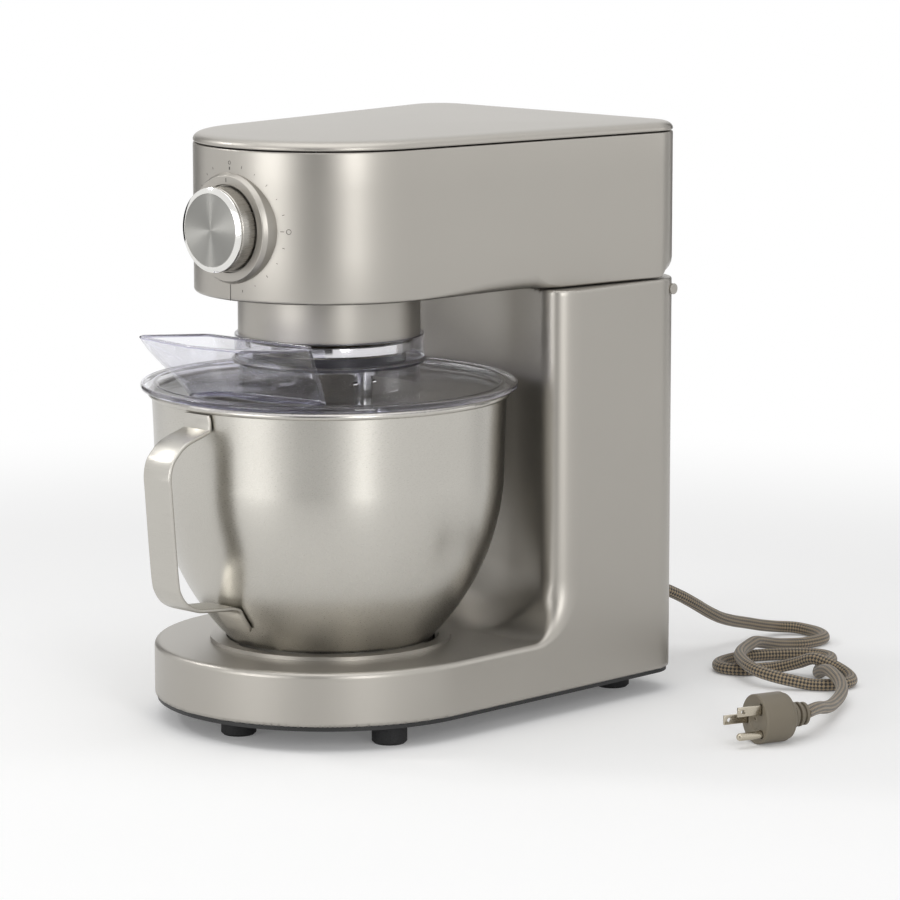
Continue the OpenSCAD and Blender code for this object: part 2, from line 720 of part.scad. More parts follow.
module cover_screws() {
    color(STEEL) from_bowl() for (p = cover_screw_at)
        translate([p[0], p[1], cover_screw_z]) screw(1.7, 17, 3, 2);
}

module neck_housing() {
    low = head_z - neck_h;
    color(PAINT) from_bowl() difference() {
        union() {
            tube(neck_r, neck_r - 3, neck_h, low);
            translate([0, 0, head_z - 5]) cylinder(r = neck_r - 1, h = 5);
            translate([0, 0, neck_bearing_z]) cylinder(r = 16, h = 12);
            translate([0, 0, head_z - 1]) cylinder(r = head_bore_r - air, h = wall + 1);
        }
        translate([0, 0, neck_bearing_z - 1]) cylinder(r = bearing_r, h = bearing_h + 1);
        translate([0, 0, head_z - 20]) cylinder(r = main_r + 1.5, h = 40);
    }
}

// Lower and upper bearings of the main shaft, and the lower one of the layshaft.
module bearings() {
    color(POLISH) from_bowl() {
        tube(bearing_r - run, main_r + run, bearing_h, neck_bearing_z);
        tube(bearing_r - run, main_r + run, bearing_h, gear_plate_z - 1);
        translate([0, layshaft_y, 0]) tube(8, lay_r + run, 6, head_z + wall);
        translate([0, layshaft_y, 0]) tube(9 - run, lay_r + run, 5, gear_plate_z);
    }
}

// Internal ring that the planet pinion runs round in.
module ring_gear() {
    color(CAST) from_bowl() difference() {
        translate([0, 0, ring_z]) cylinder(r = neck_r - 3 - 0.1, h = ring_h);
        translate([0, 0, ring_z - 1]) linear_extrude(ring_h + 2)
            gear_outline(ring_teeth, ring_pitch_r, 2 * planet_module, true);
    }
}

// Plate across the head that carries the shafts' upper bearings and the motor.
module gear_plate() {
    color(CAST) from_bowl() difference() {
        union() {
            translate([0, 0, gear_plate_z]) linear_extrude(gear_plate_h) union() {
                translate([-54, -32]) square([108, 122]);
                translate([-40, 80]) square([80, motor_y + 40 - 80]);
            }
            for (p = plate_post_at) translate([p[0], p[1], head_z + wall])
                cylinder(r = 5, h = gear_plate_z - head_z - wall + 1);
        }
        translate([0, 0, gear_plate_z - 2]) cylinder(r = bearing_r, h = bearing_h);
        translate([0, 0, gear_plate_z - 1]) cylinder(r = main_r + 1, h = 20);
        translate([0, layshaft_y, gear_plate_z - 1]) cylinder(r = 9, h = 20);
        translate([0, motor_y, gear_plate_z - 1]) cylinder(r = motor_r + 0.4, h = 20);
    }
}

module motor_can() {
    color(STEEL) from_bowl() translate([0, motor_y, 0]) difference() {
        translate([0, 0, motor_z]) cylinder(r = motor_r, h = motor_h);
        translate([0, 0, motor_z + 3]) cylinder(r = motor_r - 2.5, h = motor_h - 6);
        translate([0, 0, motor_z - 1]) cylinder(r = motor_shaft_r + run, h = motor_h + 2);
        around(6) translate([20, 0, motor_z - 1]) cylinder(r = 4.5, h = 6);
    }
}

// Cradle that seats the motor's can on the head's floor.
module motor_mount() {
    color(BLACK) from_bowl() translate([0, motor_y, 0]) {
        tube(motor_r + 6, motor_r + 0.2, 14, head_z + wall);
        tube(motor_r + 1, motor_r - 7, motor_z - head_z - wall - 0.1, head_z + wall);
    }
}

module motor_rotor() {
    color("#8a5a35") from_bowl() translate([0, motor_y, 0]) {
        tube(motor_r - 9, motor_shaft_r, 34, motor_z + 9);
        tube(10, motor_shaft_r, 5, motor_z + 45);
    }
}

module motor_shaft() {
    color(POLISH) from_bowl() translate([0, motor_y, motor_z - 0.6])
        cylinder(r = motor_shaft_r, h = pulley_z + pulley_h + 2 - motor_z);
}

// Two magnets held on the inside of the motor's can.
module motor_magnets() {
    r_out = motor_r - 2.5;
    color("#3c3f44") from_bowl() translate([0, motor_y, motor_z + 8]) for (a = [30, 210]) rotate([0, 0, a])
        rotate_extrude(angle = 120) translate([r_out - 5.5, 0]) square([5.5 - 0.1, 36]);
}

module motor_pulley() {
    color(CAST) from_bowl() translate([0, motor_y, 0]) difference() {
        union() {
            translate([0, 0, pulley_z + 1]) cylinder(r = small_pulley_r, h = pulley_h - 2);
            translate([0, 0, pulley_z]) cylinder(r = small_pulley_r + 2.5, h = 1.2);
            translate([0, 0, pulley_z + pulley_h - 1.2]) cylinder(r = small_pulley_r + 2.5, h = 1.2);
        }
        translate([0, 0, pulley_z - 1]) cylinder(r = motor_shaft_r, h = pulley_h + 2);
    }
}

module large_pulley() {
    color(BLACK) from_bowl() translate([0, layshaft_y, 0]) difference() {
        translate([0, 0, pulley_z]) cylinder(r = big_pulley_r, h = pulley_h);
        translate([0, 0, pulley_z - 1]) cylinder(r = lay_r, h = pulley_h + 2);
        translate([0, 0, pulley_z + 4]) difference() {
            cylinder(r = big_pulley_r - 4, h = pulley_h);
            translate([0, 0, -1]) cylinder(r = 10, h = pulley_h + 2);
        }
    }
}

// Flat belt loop over both pulleys.
module drive_belt() {
    big = [0, layshaft_y];
    small = [0, motor_y];
    color("#1d1d1f") from_bowl() translate([0, 0, pulley_z + (pulley_h - belt_h) / 2])
        linear_extrude(belt_h) difference() {
            belt_loop(big, big_pulley_r + 0.15 + belt_t, small, small_pulley_r + 0.15 + belt_t);
            belt_loop(big, big_pulley_r + 0.15, small, small_pulley_r + 0.15);
        }
}
module belt_loop(a, ra, b, rb) {
    n = touch_normal(a, ra, b, rb);
    translate(a) circle(r = ra);
    translate(b) circle(r = rb);
    polygon([a + ra * n, b + rb * n, b + rb * [-n[0], n[1]], a + ra * [-n[0], n[1]]]);
}

module layshaft() {
    color(POLISH) from_bowl() translate([0, layshaft_y, head_z + wall + 0.3])
        cylinder(r = lay_r, h = pulley_z + pulley_h + 2 - head_z - wall);
}

module layshaft_pinion() {
    color(BRASS) from_bowl() translate([0, layshaft_y, wheel_z - 1]) difference() {
        linear_extrude(wheel_h + 2) rotate(-90) gear_outline(lay_teeth, lay_pitch_r, 2 * gear_module);
        translate([0, 0, -1]) cylinder(r = lay_r, h = wheel_h + 4);
    }
}

module main_gear() {
    color(BRASS) from_bowl() translate([0, 0, wheel_z]) difference() {
        linear_extrude(wheel_h) rotate(90 + 180 / wheel_teeth) gear_outline(wheel_teeth, wheel_pitch_r, 2 * gear_module);
        translate([0, 0, -1]) cylinder(r = main_r, h = wheel_h + 2);
        around(5) translate([25, 0, -1]) cylinder(r = 9, h = wheel_h + 2);
    }
}

module main_shaft() {
    color(POLISH) from_bowl() translate([0, 0, hub_top]) cylinder(r = main_r, h = 335 - hub_top);
}

// Planet carrier: a dark hub that turns under the neck.
module planet_carrier() {
    color(BLACK) from_bowl() difference() {
        union() {
            translate([0, 0, hub_low]) cylinder(r = 48, h = 7);
            translate([0, 0, hub_low + 6]) cylinder(r = 46, h = hub_top - hub_low - 6);
            translate([orbit_r, 0, hub_top - 1]) cylinder(r = 10, h = ring_z - hub_top);
        }
        translate([orbit_r, 0, hub_low - 1]) cylinder(r = journal_r + run, h = 40);
    }
}

// Polished ring round the carrier.
module hub_skirt() {
    color(POLISH) from_bowl() tube(hub_r, 46.2, 8, hub_low + 7);
}

module tool_shaft() {
    color(STEEL) from_bowl() translate([orbit_r, 0, 0]) {
        translate([0, 0, tool_end_z]) cylinder(r = tool_r, h = tool_len);
        difference() {
            translate([0, 0, tool_end_z + tool_len]) cylinder(r = journal_r, h = ring_z + ring_h - tool_end_z - tool_len);
            bar_y(tool_pin_r + run, -journal_r - 1, journal_r + 1, 0, tool_pin_z);
        }
        translate([0, 0, hub_low - 6]) cylinder(r = journal_r + 3, h = 6 - air);
    }
}

module tool_pin() {
    color(POLISH) from_bowl() bar_y(tool_pin_r, -10, 10, orbit_r, tool_pin_z);
}

module planet_pinion() {
    color(BRASS) from_bowl() translate([orbit_r, 0, ring_z + 0.5]) difference() {
        linear_extrude(ring_h - 0.5) gear_outline(planet_teeth, planet_r, 2 * planet_module);
        translate([0, 0, -1]) cylinder(r = journal_r, h = ring_h + 2);
    }
}

// ---------------------------------------------------------------- control panel
module dial_ring() {
    color(PAINT) from_bowl() difference() {
        bar_y(dial_r, dial_face, -head_front_r + 12, 0, knob_z);
        translate([0, 0, knob_z - dial_r - 1]) cylinder(r = head_front_r, h = 2 * dial_r + 2);
        bar_y(knob_r + well_gap, dial_face - 1, well_floor, 0, knob_z);
        bar_y(5, dial_face - 1, 0, 0, knob_z);
    }
}

module knob_body() {
    color(STEEL) from_bowl() difference() {
        bar_y(knob_r, knob_face + 2, knob_back, 0, knob_z);
        bar_y(knob_r - 2.5, knob_face + 4.5, knob_back + 1, 0, knob_z);
    }
    color(STEEL) from_bowl() difference() {
        bar_y(6, knob_face + 3, knob_back, 0, knob_z);
        bar_y(3, shaft_tip, knob_back + 1, 0, knob_z);
    }
}
module knob_cap() {
    color(POLISH) from_bowl() translate([0, knob_face + 2, knob_z]) rotate([90, 0, 0])
        rotate_extrude() polygon([[0, 0], [knob_r - 0.5, 0], [knob_r - 0.5, 1], [knob_r - 2, 2], [0, 2]]);
}

// Rotary encoder behind the head's wall; its shaft turns with the knob.
module speed_encoder() {
    color(BLACK) from_bowl() difference() {
        block([-11, -head_front_r + 4.5, knob_z - 11], [11, board_y, knob_z + 11]);
        bar_y(3 + run, -head_front_r, board_y - 4, 0, knob_z);
    }
}

module encoder_shaft() {
    color(STEEL) from_bowl() bar_y(3, shaft_tip, board_y - 6, 0, knob_z);
}

module control_board() {
    color(GREEN) from_bowl() {
        block([-34, board_y, 292], [34, board_y + 2, 350]);
    }
}

// ---------------------------------------------------------------- bowl
// Outer profile of the bowl, from the foot up: an arc, then a nearly straight wall.
function arc_at(z, grow) = wall_r - arc_r + sqrt(pow(arc_r + grow, 2) - pow(arc_z - z, 2));

module bowl() {
    steps = 14;
    outer = [for (i = [0 : steps]) let (z = foot_z + (arc_z - foot_z) * i / steps) [arc_at(z, 0), z]];
    inner = [for (i = [steps : -1 : 0]) let (z = foot_z + bowl_t + (arc_z - foot_z - bowl_t) * i / steps) [arc_at(z, -bowl_t), z]];
    color(STEEL) from_bowl() {
        rotate_extrude() polygon(concat([[0, foot_z]], outer, [[bowl_r, bowl_top - 2.4]],
            [[bowl_r - bowl_t, bowl_top - 2.4]], inner, [[0, foot_z + bowl_t]]));
        // curled rim
        rotate_extrude() translate([bowl_r + 0.6, bowl_top - 2]) circle(r = 2, $fn = 24);
    }
}

module bowl_foot_ring() {
    low = seat_floor_z + seat_base_h + air;
    color(STEEL) from_bowl() {
        tube(foot_r, foot_r - 3, foot_z - low, low);
        around(3) rotate([0, 0, -lug_span / 2]) translate([0, 0, low])
            rotate_extrude(angle = lug_span) translate([foot_r - 1, 0]) square([lug_r - foot_r + 1, lug_h]);
    }
}

module bowl_handle() {
    h = strap_t / 2;
    path = concat(strap_upper, strap_lower);
    n = len(path);
    function side(i, s) =
        let (a = path[max(i - 1, 0)], b = path[min(i + 1, n - 1)], d = (b - a) / norm(b - a))
        path[i] + s * h * [-d[1], d[0]];
    color(STEEL) from_bowl() translate([-strap_w / 2, 0, 0]) rotate([90, 0, 90])
        linear_extrude(strap_w) polygon(concat([for (i = [0 : n - 1]) side(i, 1)],
                                               [for (i = [n - 1 : -1 : 0]) side(i, -1)]));
}

// ---------------------------------------------------------------- lid and chute
module lid() {
    skirt_r = bowl_r - bowl_t - 2.6;
    floor_z = lid_top - lid_drop - lid_t;
    flange_h = lid_t + 1.6;
    color(CLEAR) from_bowl() difference() {
        union() {
            tube(lid_r, skirt_r - 1, flange_h, lid_top - flange_h);
            tube(skirt_r, skirt_r - 1.8, 7, lid_top - 7);
            tube(skirt_r - 0.5, throat_r, lid_t, floor_z);
            tube(throat_r + 1.8, throat_r, collar_z[0] - floor_z + 1, floor_z);
            tube(collar_r + 3.5, throat_r, 2, collar_z[0]);
            tube(collar_r + 1.8, collar_r, collar_z[1] - collar_z[0] - 1, collar_z[0] + 1);
        }
        opening_cut();
    }
}

// Kidney-shaped opening in the lid, under the chute.
module opening_cut() {
    function on_ring(r, a) = r * [cos(a), sin(a)];
    function cap(a, turn) = [for (t = [15 : 15 : 165]) on_ring(opening_mid_r, a) + on_ring(opening_half, a + turn + t)];
    along = [for (i = [0 : 8]) opening_span[0] + (opening_span[1] - opening_span[0]) * i / 8];
    translate([0, 0, lid_top - 12]) linear_extrude(20) polygon(concat(
        [for (a = along) on_ring(opening_mid_r + opening_half, a)], cap(opening_span[1], 0),
        [for (i = [8 : -1 : 0]) on_ring(opening_mid_r - opening_half, along[i])], cap(opening_span[0], 180)));
}

// Funnel that stands on the lid round its opening and leans out to the front left.
function chute_ring(circles, inset, z) = [for (t = [0 : 7.5 : 352.5])
    let (q = edge_point([for (c = circles) [c[0], c[1], c[2] - inset]], t)) [q[0], q[1], z]];
module pouring_chute() {
    color(CLEAR) from_bowl() loft([
        chute_ring(chute_foot, 0, lid_top - lid_drop), chute_ring(chute_rim, 0, chute_top),
        chute_ring(chute_rim, lid_t, chute_top), chute_ring(chute_foot, lid_t, lid_top - lid_drop)], looped = true);
}

// ---------------------------------------------------------------- cord and plug
function dir_at(i) =
    i == 0 ? [0, 1, 0] : i == len(cord_path) - 1 ? [sin(plug_yaw), -cos(plug_yaw), 0] :
    (cord_path[i + 1] - cord_path[i - 1]) / norm(cord_path[i + 1] - cord_path[i - 1]);
function ring_at(i) =
    let (d = dir_at(i), s = cross([0, 0, 1], d), u = s / norm(s), v = cross(d, u))
    [for (k = [0 : cord_sides - 1]) let (t = 360 * k / cord_sides) cord_path[i] + cord_r * (cos(t) * u + sin(t) * v)];
module power_cord() {
    color(TAUPE) from_bowl() loft([for (i = [0 : len(cord_path) - 1]) ring_at(i)]);
}

module cord_gland() {
    color(BLACK) from_bowl() difference() {
        union() {
            bar_y(gland_hole_r - 0.1, body_back - wall - 4, body_back + 1, gland_at[0], gland_at[1]);
            bar_y(gland_hole_r + 2, body_back, body_back + 2.5, gland_at[0], gland_at[1]);
            bar_y(7, body_back + 2, cord_start[1] - 0, gland_at[0], gland_at[1]);
        }
    }
}

// The plug's own frame: its axis along -Y, with y = 0 where the cord enters.
module at_plug() { from_bowl() translate(plug_rear) rotate([0, 0, plug_yaw]) children(); }

module plug_strain_relief() {
    color(TAUPE) at_plug() {
        bar_y(5.5, -relief_len, 0, 0, 0);
        for (i = [0 : 2]) bar_y(8.2, -2.8 - 4 * i, -0.4 - 4 * i, 0, 0);
    }
}

module plug_body() {
    color(TAUPE) at_plug() translate([0, -relief_len, 0]) rotate([90, 0, 0]) rotate_extrude()
        polygon([[0, 0], [11, 0], [plug_r - 1, 3], [plug_r - 1, 5], [plug_r, 6], [plug_r, plug_len - 1],
                 [plug_r - 1, plug_len], [0, plug_len]]);
}

// Two flat blades and a round earth pin.
module plug_pins() {
    face = -relief_len - plug_len;
    color(STEEL) at_plug() {
        for (p = [prong_at[0], prong_at[1]]) block([p[0] - 0.9, face - prong_len, p[1] - 3], [p[0] + 0.9, face, p[1] + 3]);
        bar_y(2.4, face - prong_len, face, prong_at[2][0], prong_at[2][1]);
    }
}

body_shell();
base_plate();
base_screws();
feet();
bowl_seat();
seat_support();
seat_screws();
rear_cover();
rear_cover_screws();
column_frame();
hinge_pin();
power_board();
power_parts();
terminal_block();
safety_switch();
release_button();
latch_bolt();
latch_spring();
latch_striker();
head_shell();
head_cover();
cover_screws();
neck_housing();
bearings();
ring_gear();
gear_plate();
motor_can();
motor_mount();
motor_magnets();
motor_rotor();
motor_shaft();
motor_pulley();
drive_belt();
large_pulley();
layshaft();
layshaft_pinion();
main_gear();
main_shaft();
planet_carrier();
hub_skirt();
tool_shaft();
tool_pin();
planet_pinion();
dial_ring();
knob_body();
knob_cap();
speed_encoder();
encoder_shaft();
control_board();
bowl();
bowl_foot_ring();
bowl_handle();
lid();
pouring_chute();
cord_gland();
power_cord();
plug_strain_relief();
plug_body();
plug_pins();
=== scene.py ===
"""Dresses a tilt-head stand mixer: casing, head, bowl, lid, knob, cord and plug, with their finishes,
the floor, the lamps and the camera."""

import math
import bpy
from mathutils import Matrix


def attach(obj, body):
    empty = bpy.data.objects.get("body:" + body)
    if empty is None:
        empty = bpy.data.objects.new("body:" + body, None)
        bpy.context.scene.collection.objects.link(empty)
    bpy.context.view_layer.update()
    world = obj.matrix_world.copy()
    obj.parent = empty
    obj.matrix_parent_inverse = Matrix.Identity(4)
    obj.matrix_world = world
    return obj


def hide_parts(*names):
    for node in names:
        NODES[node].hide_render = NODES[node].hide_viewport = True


bl_info = {
    "name": "Tilt-head stand mixer",
    "version": (1, 0, 0),
    "blender": (4, 5, 0),
    "location": "3D View > Sidebar > Mixer",
    "description": "Makes the finished pieces of a tilt-head stand mixer round its packed frame",
    "category": "Object",
}

import bpy
import numpy as np
from mathutils import Matrix, Vector

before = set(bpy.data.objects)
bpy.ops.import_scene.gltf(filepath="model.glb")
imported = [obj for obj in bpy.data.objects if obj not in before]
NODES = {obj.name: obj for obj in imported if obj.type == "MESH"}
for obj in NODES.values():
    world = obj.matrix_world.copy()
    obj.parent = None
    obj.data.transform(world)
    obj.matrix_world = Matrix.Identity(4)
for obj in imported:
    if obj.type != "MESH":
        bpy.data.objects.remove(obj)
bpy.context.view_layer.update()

# Every length below is in millimetres about the bowl's axis, on the worktop.
MM = 0.001
BOWL_AXIS_Y = -33.75
# points closer than this are merged
MERGED_BELOW = 0.002

# base and column
HALF_WIDTH = 111.0
BACK = 213.0
CORNER = 25.0
SHELL_BOTTOM = 16.0
BASE_TOP = 49.5
COLUMN_TOP = 269.5
COLUMN_FRONT = 111.615
COLUMN_ROUND = 20.0
HOLLOW = 124.0
COVE = 40.0

# head, its cover and the knob's place on it
HEAD_BOTTOM = 270.5
HEAD_TOP = 363.0
COVER_BOTTOM = 363.8
FRONT_ROUND = 84.0
KNOB_Z = 315.0

# centre and radius of each round of the head's outline
HEAD_CIRCLES = (
    (0.0, 0.0, FRONT_ROUND),
    (HALF_WIDTH - CORNER, BACK - CORNER, CORNER),
    (CORNER - HALF_WIDTH, BACK - CORNER, CORNER))


def linear(code, alpha=1.0):
    """An sRGB hex colour as linear red, green, blue and alpha."""
    parts = [int(code[i:i + 2], 16) / 255 for i in (1, 3, 5)]
    return tuple(p / 12.92 if p <= 0.04045 else ((p + 0.055) / 1.055) ** 2.4 for p in parts) + (alpha,)


def at(x, y, z):
    """A point about the bowl's axis, as a place in the frame, in metres."""
    return Vector((x * MM, (y + BOWL_AXIS_Y) * MM, z * MM))


def towards(degrees):
    """The direction at that angle, seen from above."""
    return Vector((math.cos(math.radians(degrees)), math.sin(math.radians(degrees))))


# ---------------------------------------------------------------- what a user may change
class MixerSizes(bpy.types.PropertyGroup):
    """Sizes of the fine forms that the frame leaves to the finished pieces."""

    edge_round: bpy.props.FloatProperty(
        name="Base edge", description="Rounding of the base's upper edge",
        default=3.5 * MM, min=1 * MM, max=6 * MM, unit="LENGTH")
    web_round: bpy.props.FloatProperty(
        name="Web corner", description="Radius of the corner between base and column, at the flat sides",
        default=40 * MM, min=30 * MM, max=50 * MM, unit="LENGTH")
    head_cove: bpy.props.FloatProperty(
        name="Head cove", description="Largest rounding under the head's sides",
        default=9.5 * MM, min=3 * MM, max=12 * MM, unit="LENGTH")
    strap_round: bpy.props.FloatProperty(
        name="Strap edge", description="Rounding of the bowl handle's edges",
        default=0.9 * MM, min=0.3 * MM, max=1.2 * MM, unit="LENGTH")
    braid_pitch: bpy.props.FloatProperty(
        name="Braid pitch", description="Length of one crossing of the cord's braid",
        default=2.3 * MM, min=1.5 * MM, max=6 * MM, unit="LENGTH")


class MixerColours(bpy.types.PropertyGroup):
    """Colours of the main finishes."""

    paint: bpy.props.FloatVectorProperty(
        name="Paint", description="Satin titanium paint",
        size=4, subtype="COLOR", min=0, max=1, default=linear("#AAA69F"))
    steel: bpy.props.FloatVectorProperty(
        name="Steel", description="Brushed stainless steel",
        size=4, subtype="COLOR", min=0, max=1, default=linear("#BEBBB4"))
    braid_dark: bpy.props.FloatVectorProperty(
        name="Dark thread", description="Dark thread of the cord",
        size=4, subtype="COLOR", min=0, max=1, default=linear("#2E2C2A"))
    braid_gold: bpy.props.FloatVectorProperty(
        name="Gold thread", description="Gold thread of the cord",
        size=4, subtype="COLOR", min=0, max=1, default=linear("#98866A"))
    plug: bpy.props.FloatVectorProperty(
        name="Plug", description="Moulded plug",
        size=4, subtype="COLOR", min=0, max=1, default=linear("#746C5D"))


# ---------------------------------------------------------------- materials
# Broad unevenness repeats 14 times in a metre on moulded and painted pieces, and 18 times on brushed ones.
BROAD_PER_METRE = 14.0
BROAD_BRUSHED_PER_METRE = 18.0
# A step along the brush counts as a fiftieth in its pattern, and a radian round an axis as 20 mm.
BRUSH_STRETCH = 0.02
# Threads that wind each way round the cord.
THREADS = 10.0


def add(tree, kind, values=None, links=None, stops=(), **settings):
    """Adds a node, with its settings, its inputs' values, links from (node, output), and a ramp's (place, colour)."""
    n = tree.nodes.new("ShaderNode" + kind)
    for name, value in settings.items():
        setattr(n, name, value)
    for name, value in (values or {}).items():
        n.inputs[name].default_value = value
    for name, (source, output) in (links or {}).items():
        tree.links.new(source.outputs[output], n.inputs[name])
    for i, (place, colour) in enumerate(stops):
        n.color_ramp.elements[i].position, n.color_ramp.elements[i].color = place, colour
    return n


def new_material(name, seen=None):
    """A material without nodes, and its tree; the colour seen in the view is set where one is given."""
    m = bpy.data.materials.new(name)
    m.use_nodes = True
    if seen:
        m.diffuse_color = seen
    m.node_tree.nodes.clear()
    return m, m.node_tree


def tinted(colour, factor):
    """The colour, lighter or darker by a factor, and opaque."""
    return [min(c * factor, 1) for c in colour[:3]] + [1]


def finish(name, shader, colour, grain=0.4, depth=0.02, rough=(0.3, 0.4), tint=0.04):
    """A finish whose colour, roughness and height vary with a grain of a real size in millimetres."""
    m, tree = new_material(name, colour)
    place = add(tree, "TexCoord")
    fine = add(tree, "TexNoise", {"Scale": 1 / (grain * MM), "Detail": 3.0}, {"Vector": (place, "Object")})
    broad = add(tree, "TexNoise", {"Scale": BROAD_PER_METRE, "Detail": 2.0}, {"Vector": (place, "Object")})
    both = add(tree, "Math", {}, {0: (fine, "Fac"), 1: (broad, "Fac")}, operation="ADD")
    mean = add(tree, "Math", {1: 0.5}, {0: (both, "Value")}, operation="MULTIPLY")
    ramp = add(tree, "ValToRGB", {}, {"Fac": (mean, "Value")},
               ((0.35, tinted(colour, 1 - tint)), (0.65, tinted(colour, 1 + tint))))
    gloss = add(tree, "MapRange", {"From Min": 0.35, "From Max": 0.65, "To Min": rough[0], "To Max": rough[1]},
                {"Value": (fine, "Fac")})
    bump = add(tree, "Bump", {"Strength": 1.0, "Distance": depth * MM}, {"Height": (fine, "Fac")})
    surface = add(tree, "BsdfPrincipled", shader,
                  {"Base Color": (ramp, "Color"), "Roughness": (gloss, "Result"), "Normal": (bump, "Normal")})
    add(tree, "OutputMaterial", {}, {"Surface": (surface, "BSDF")})
    return m


def satin_paint():
    """Sprayed metallic lacquer: its flakes spread the lamps into soft, broad bands.

    Real flakes of 0.05 mm are drawn at 0.45 mm, so that they show.
    """
    return finish("satin_metallic_paint", {"Metallic": 0.85, "Coat Weight": 0.12, "Coat Roughness": 0.3},
                  tuple(bpy.context.scene.mixer_colours.paint), 0.45, 0.006, (0.36, 0.42), 0.015)


def brushed_steel(name, along, colour=None, rough=(0.24, 0.36), depth=0.004, about=(0, BOWL_AXIS_Y, 0),
                  line=0.35, tint=0.03, spread=0.5):
    """Brushed metal: its lines run along an axis or round one, and light fans out across them.

    Real lines of 0.05 mm are drawn at 0.35 mm, so that they show.
    """
    colour = colour or tuple(bpy.context.scene.mixer_colours.steel)
    m, tree = new_material(name, colour)
    place = add(tree, "TexCoord")
    centred = add(tree, "Mapping", {"Location": tuple(-c * MM for c in about)}, {"Vector": (place, "Object")})
    if along in ("ROUND_Z", "ROUND_Y"):
        parts = add(tree, "SeparateXYZ", {}, {"Vector": (centred, "Vector")})
        first, second, rise = ("X", "Y", "Z") if along == "ROUND_Z" else ("X", "Z", "Y")
        turn = add(tree, "Math", {}, {0: (parts, first), 1: (parts, second)}, operation="ARCTAN2")
        slow = add(tree, "Math", {1: BRUSH_STRETCH}, {0: (turn, "Value")}, operation="MULTIPLY")
        if along == "ROUND_Z":
            across = (parts, rise)
        else:
            flat = add(tree, "CombineXYZ", {}, {"X": (parts, first), "Y": (parts, second)})
            across = (add(tree, "VectorMath", {}, {0: (flat, "Vector")}, operation="LENGTH"), "Value")
        lines = add(tree, "CombineXYZ", {}, {"X": (slow, "Value"), "Y": across})
    else:
        scale = tuple(BRUSH_STRETCH if axis == along else 1 for axis in "XYZ")
        lines = add(tree, "Mapping", {"Scale": scale}, {"Vector": (centred, "Vector")})
    brush = add(tree, "TexNoise", {"Scale": 1 / (line * MM), "Detail": 4.0, "Roughness": 0.7},
                {"Vector": (lines, "Vector")})
    broad = add(tree, "TexNoise", {"Scale": BROAD_BRUSHED_PER_METRE}, {"Vector": (centred, "Vector")})
    half = add(tree, "Math", {1: 0.5}, {0: (broad, "Fac")}, operation="MULTIPLY")
    mixed = add(tree, "Math", {1: 0.5}, {0: (brush, "Fac"), 2: (half, "Value")}, operation="MULTIPLY_ADD")
    ramp = add(tree, "ValToRGB", {}, {"Fac": (mixed, "Value")},
               ((0.35, tinted(colour, 1 - tint)), (0.65, tinted(colour, 1 + tint))))
    gloss = add(tree, "MapRange", {"From Min": 0.3, "From Max": 0.7, "To Min": rough[0], "To Max": rough[1]},
                {"Value": (brush, "Fac")})
    bump = add(tree, "Bump", {"Strength": 1.0, "Distance": depth * MM}, {"Height": (brush, "Fac")})
    # highlights spread across the lines of the brush
    if along == "ROUND_Y":
        grain = add(tree, "CombineXYZ", {}, {"X": (parts, "X"), "Z": (parts, "Z")})
    else:
        grain = add(tree, "CombineXYZ", {{"X": "Y", "Y": "X"}.get(along, "Z"): 1.0})
    surface = add(tree, "BsdfPrincipled", {"Metallic": 1.0, "Anisotropic": spread},
                  {"Base Color": (ramp, "Color"), "Roughness": (gloss, "Result"), "Normal": (bump, "Normal"),
                   "Tangent": (grain, "Vector")})
    add(tree, "OutputMaterial", {}, {"Surface": (surface, "BSDF")})
    return m


def clear_plastic(name, shades, mirror):
    """Clear moulded copolyester with faint flow lines: a thin wall is seen through, and shines where it turns away.

    The shades are those of its flow lines, and mirror is the share of surface seen face on and turned away.
    """
    m, tree = new_material(name, linear("#E4E6EE", 0.3))
    place = add(tree, "TexCoord")
    flow = add(tree, "TexNoise", {"Scale": 60.0, "Detail": 1.0}, {"Vector": (place, "Object")})
    gloss = add(tree, "MapRange", {"To Min": 0.0, "To Max": 0.02}, {"Value": (flow, "Fac")})
    bump = add(tree, "Bump", {"Strength": 0.5, "Distance": 0.01 * MM}, {"Height": (flow, "Fac")})
    ramp = add(tree, "ValToRGB", {}, {"Fac": (flow, "Fac")}, ((0, linear(shades[0])), (1, linear(shades[1]))))
    surface = add(tree, "BsdfPrincipled", {"Transmission Weight": 1.0, "IOR": 1.54},
                  {"Base Color": (ramp, "Color"), "Roughness": (gloss, "Result"), "Normal": (bump, "Normal")})
    through = add(tree, "BsdfTransparent", {"Color": linear("#FCFCFE")})
    facing = add(tree, "LayerWeight", {"Blend": 0.35})
    share = add(tree, "MapRange", {"From Min": 0.1, "From Max": 0.85, "To Min": mirror[0], "To Max": mirror[1]},
                {"Value": (facing, "Facing")})
    thin = add(tree, "MixShader", {}, {0: (share, "Result"), 1: (through, "BSDF"), 2: (surface, "BSDF")})
    add(tree, "OutputMaterial", {}, {"Surface": (thin, "Shader")})
    return m


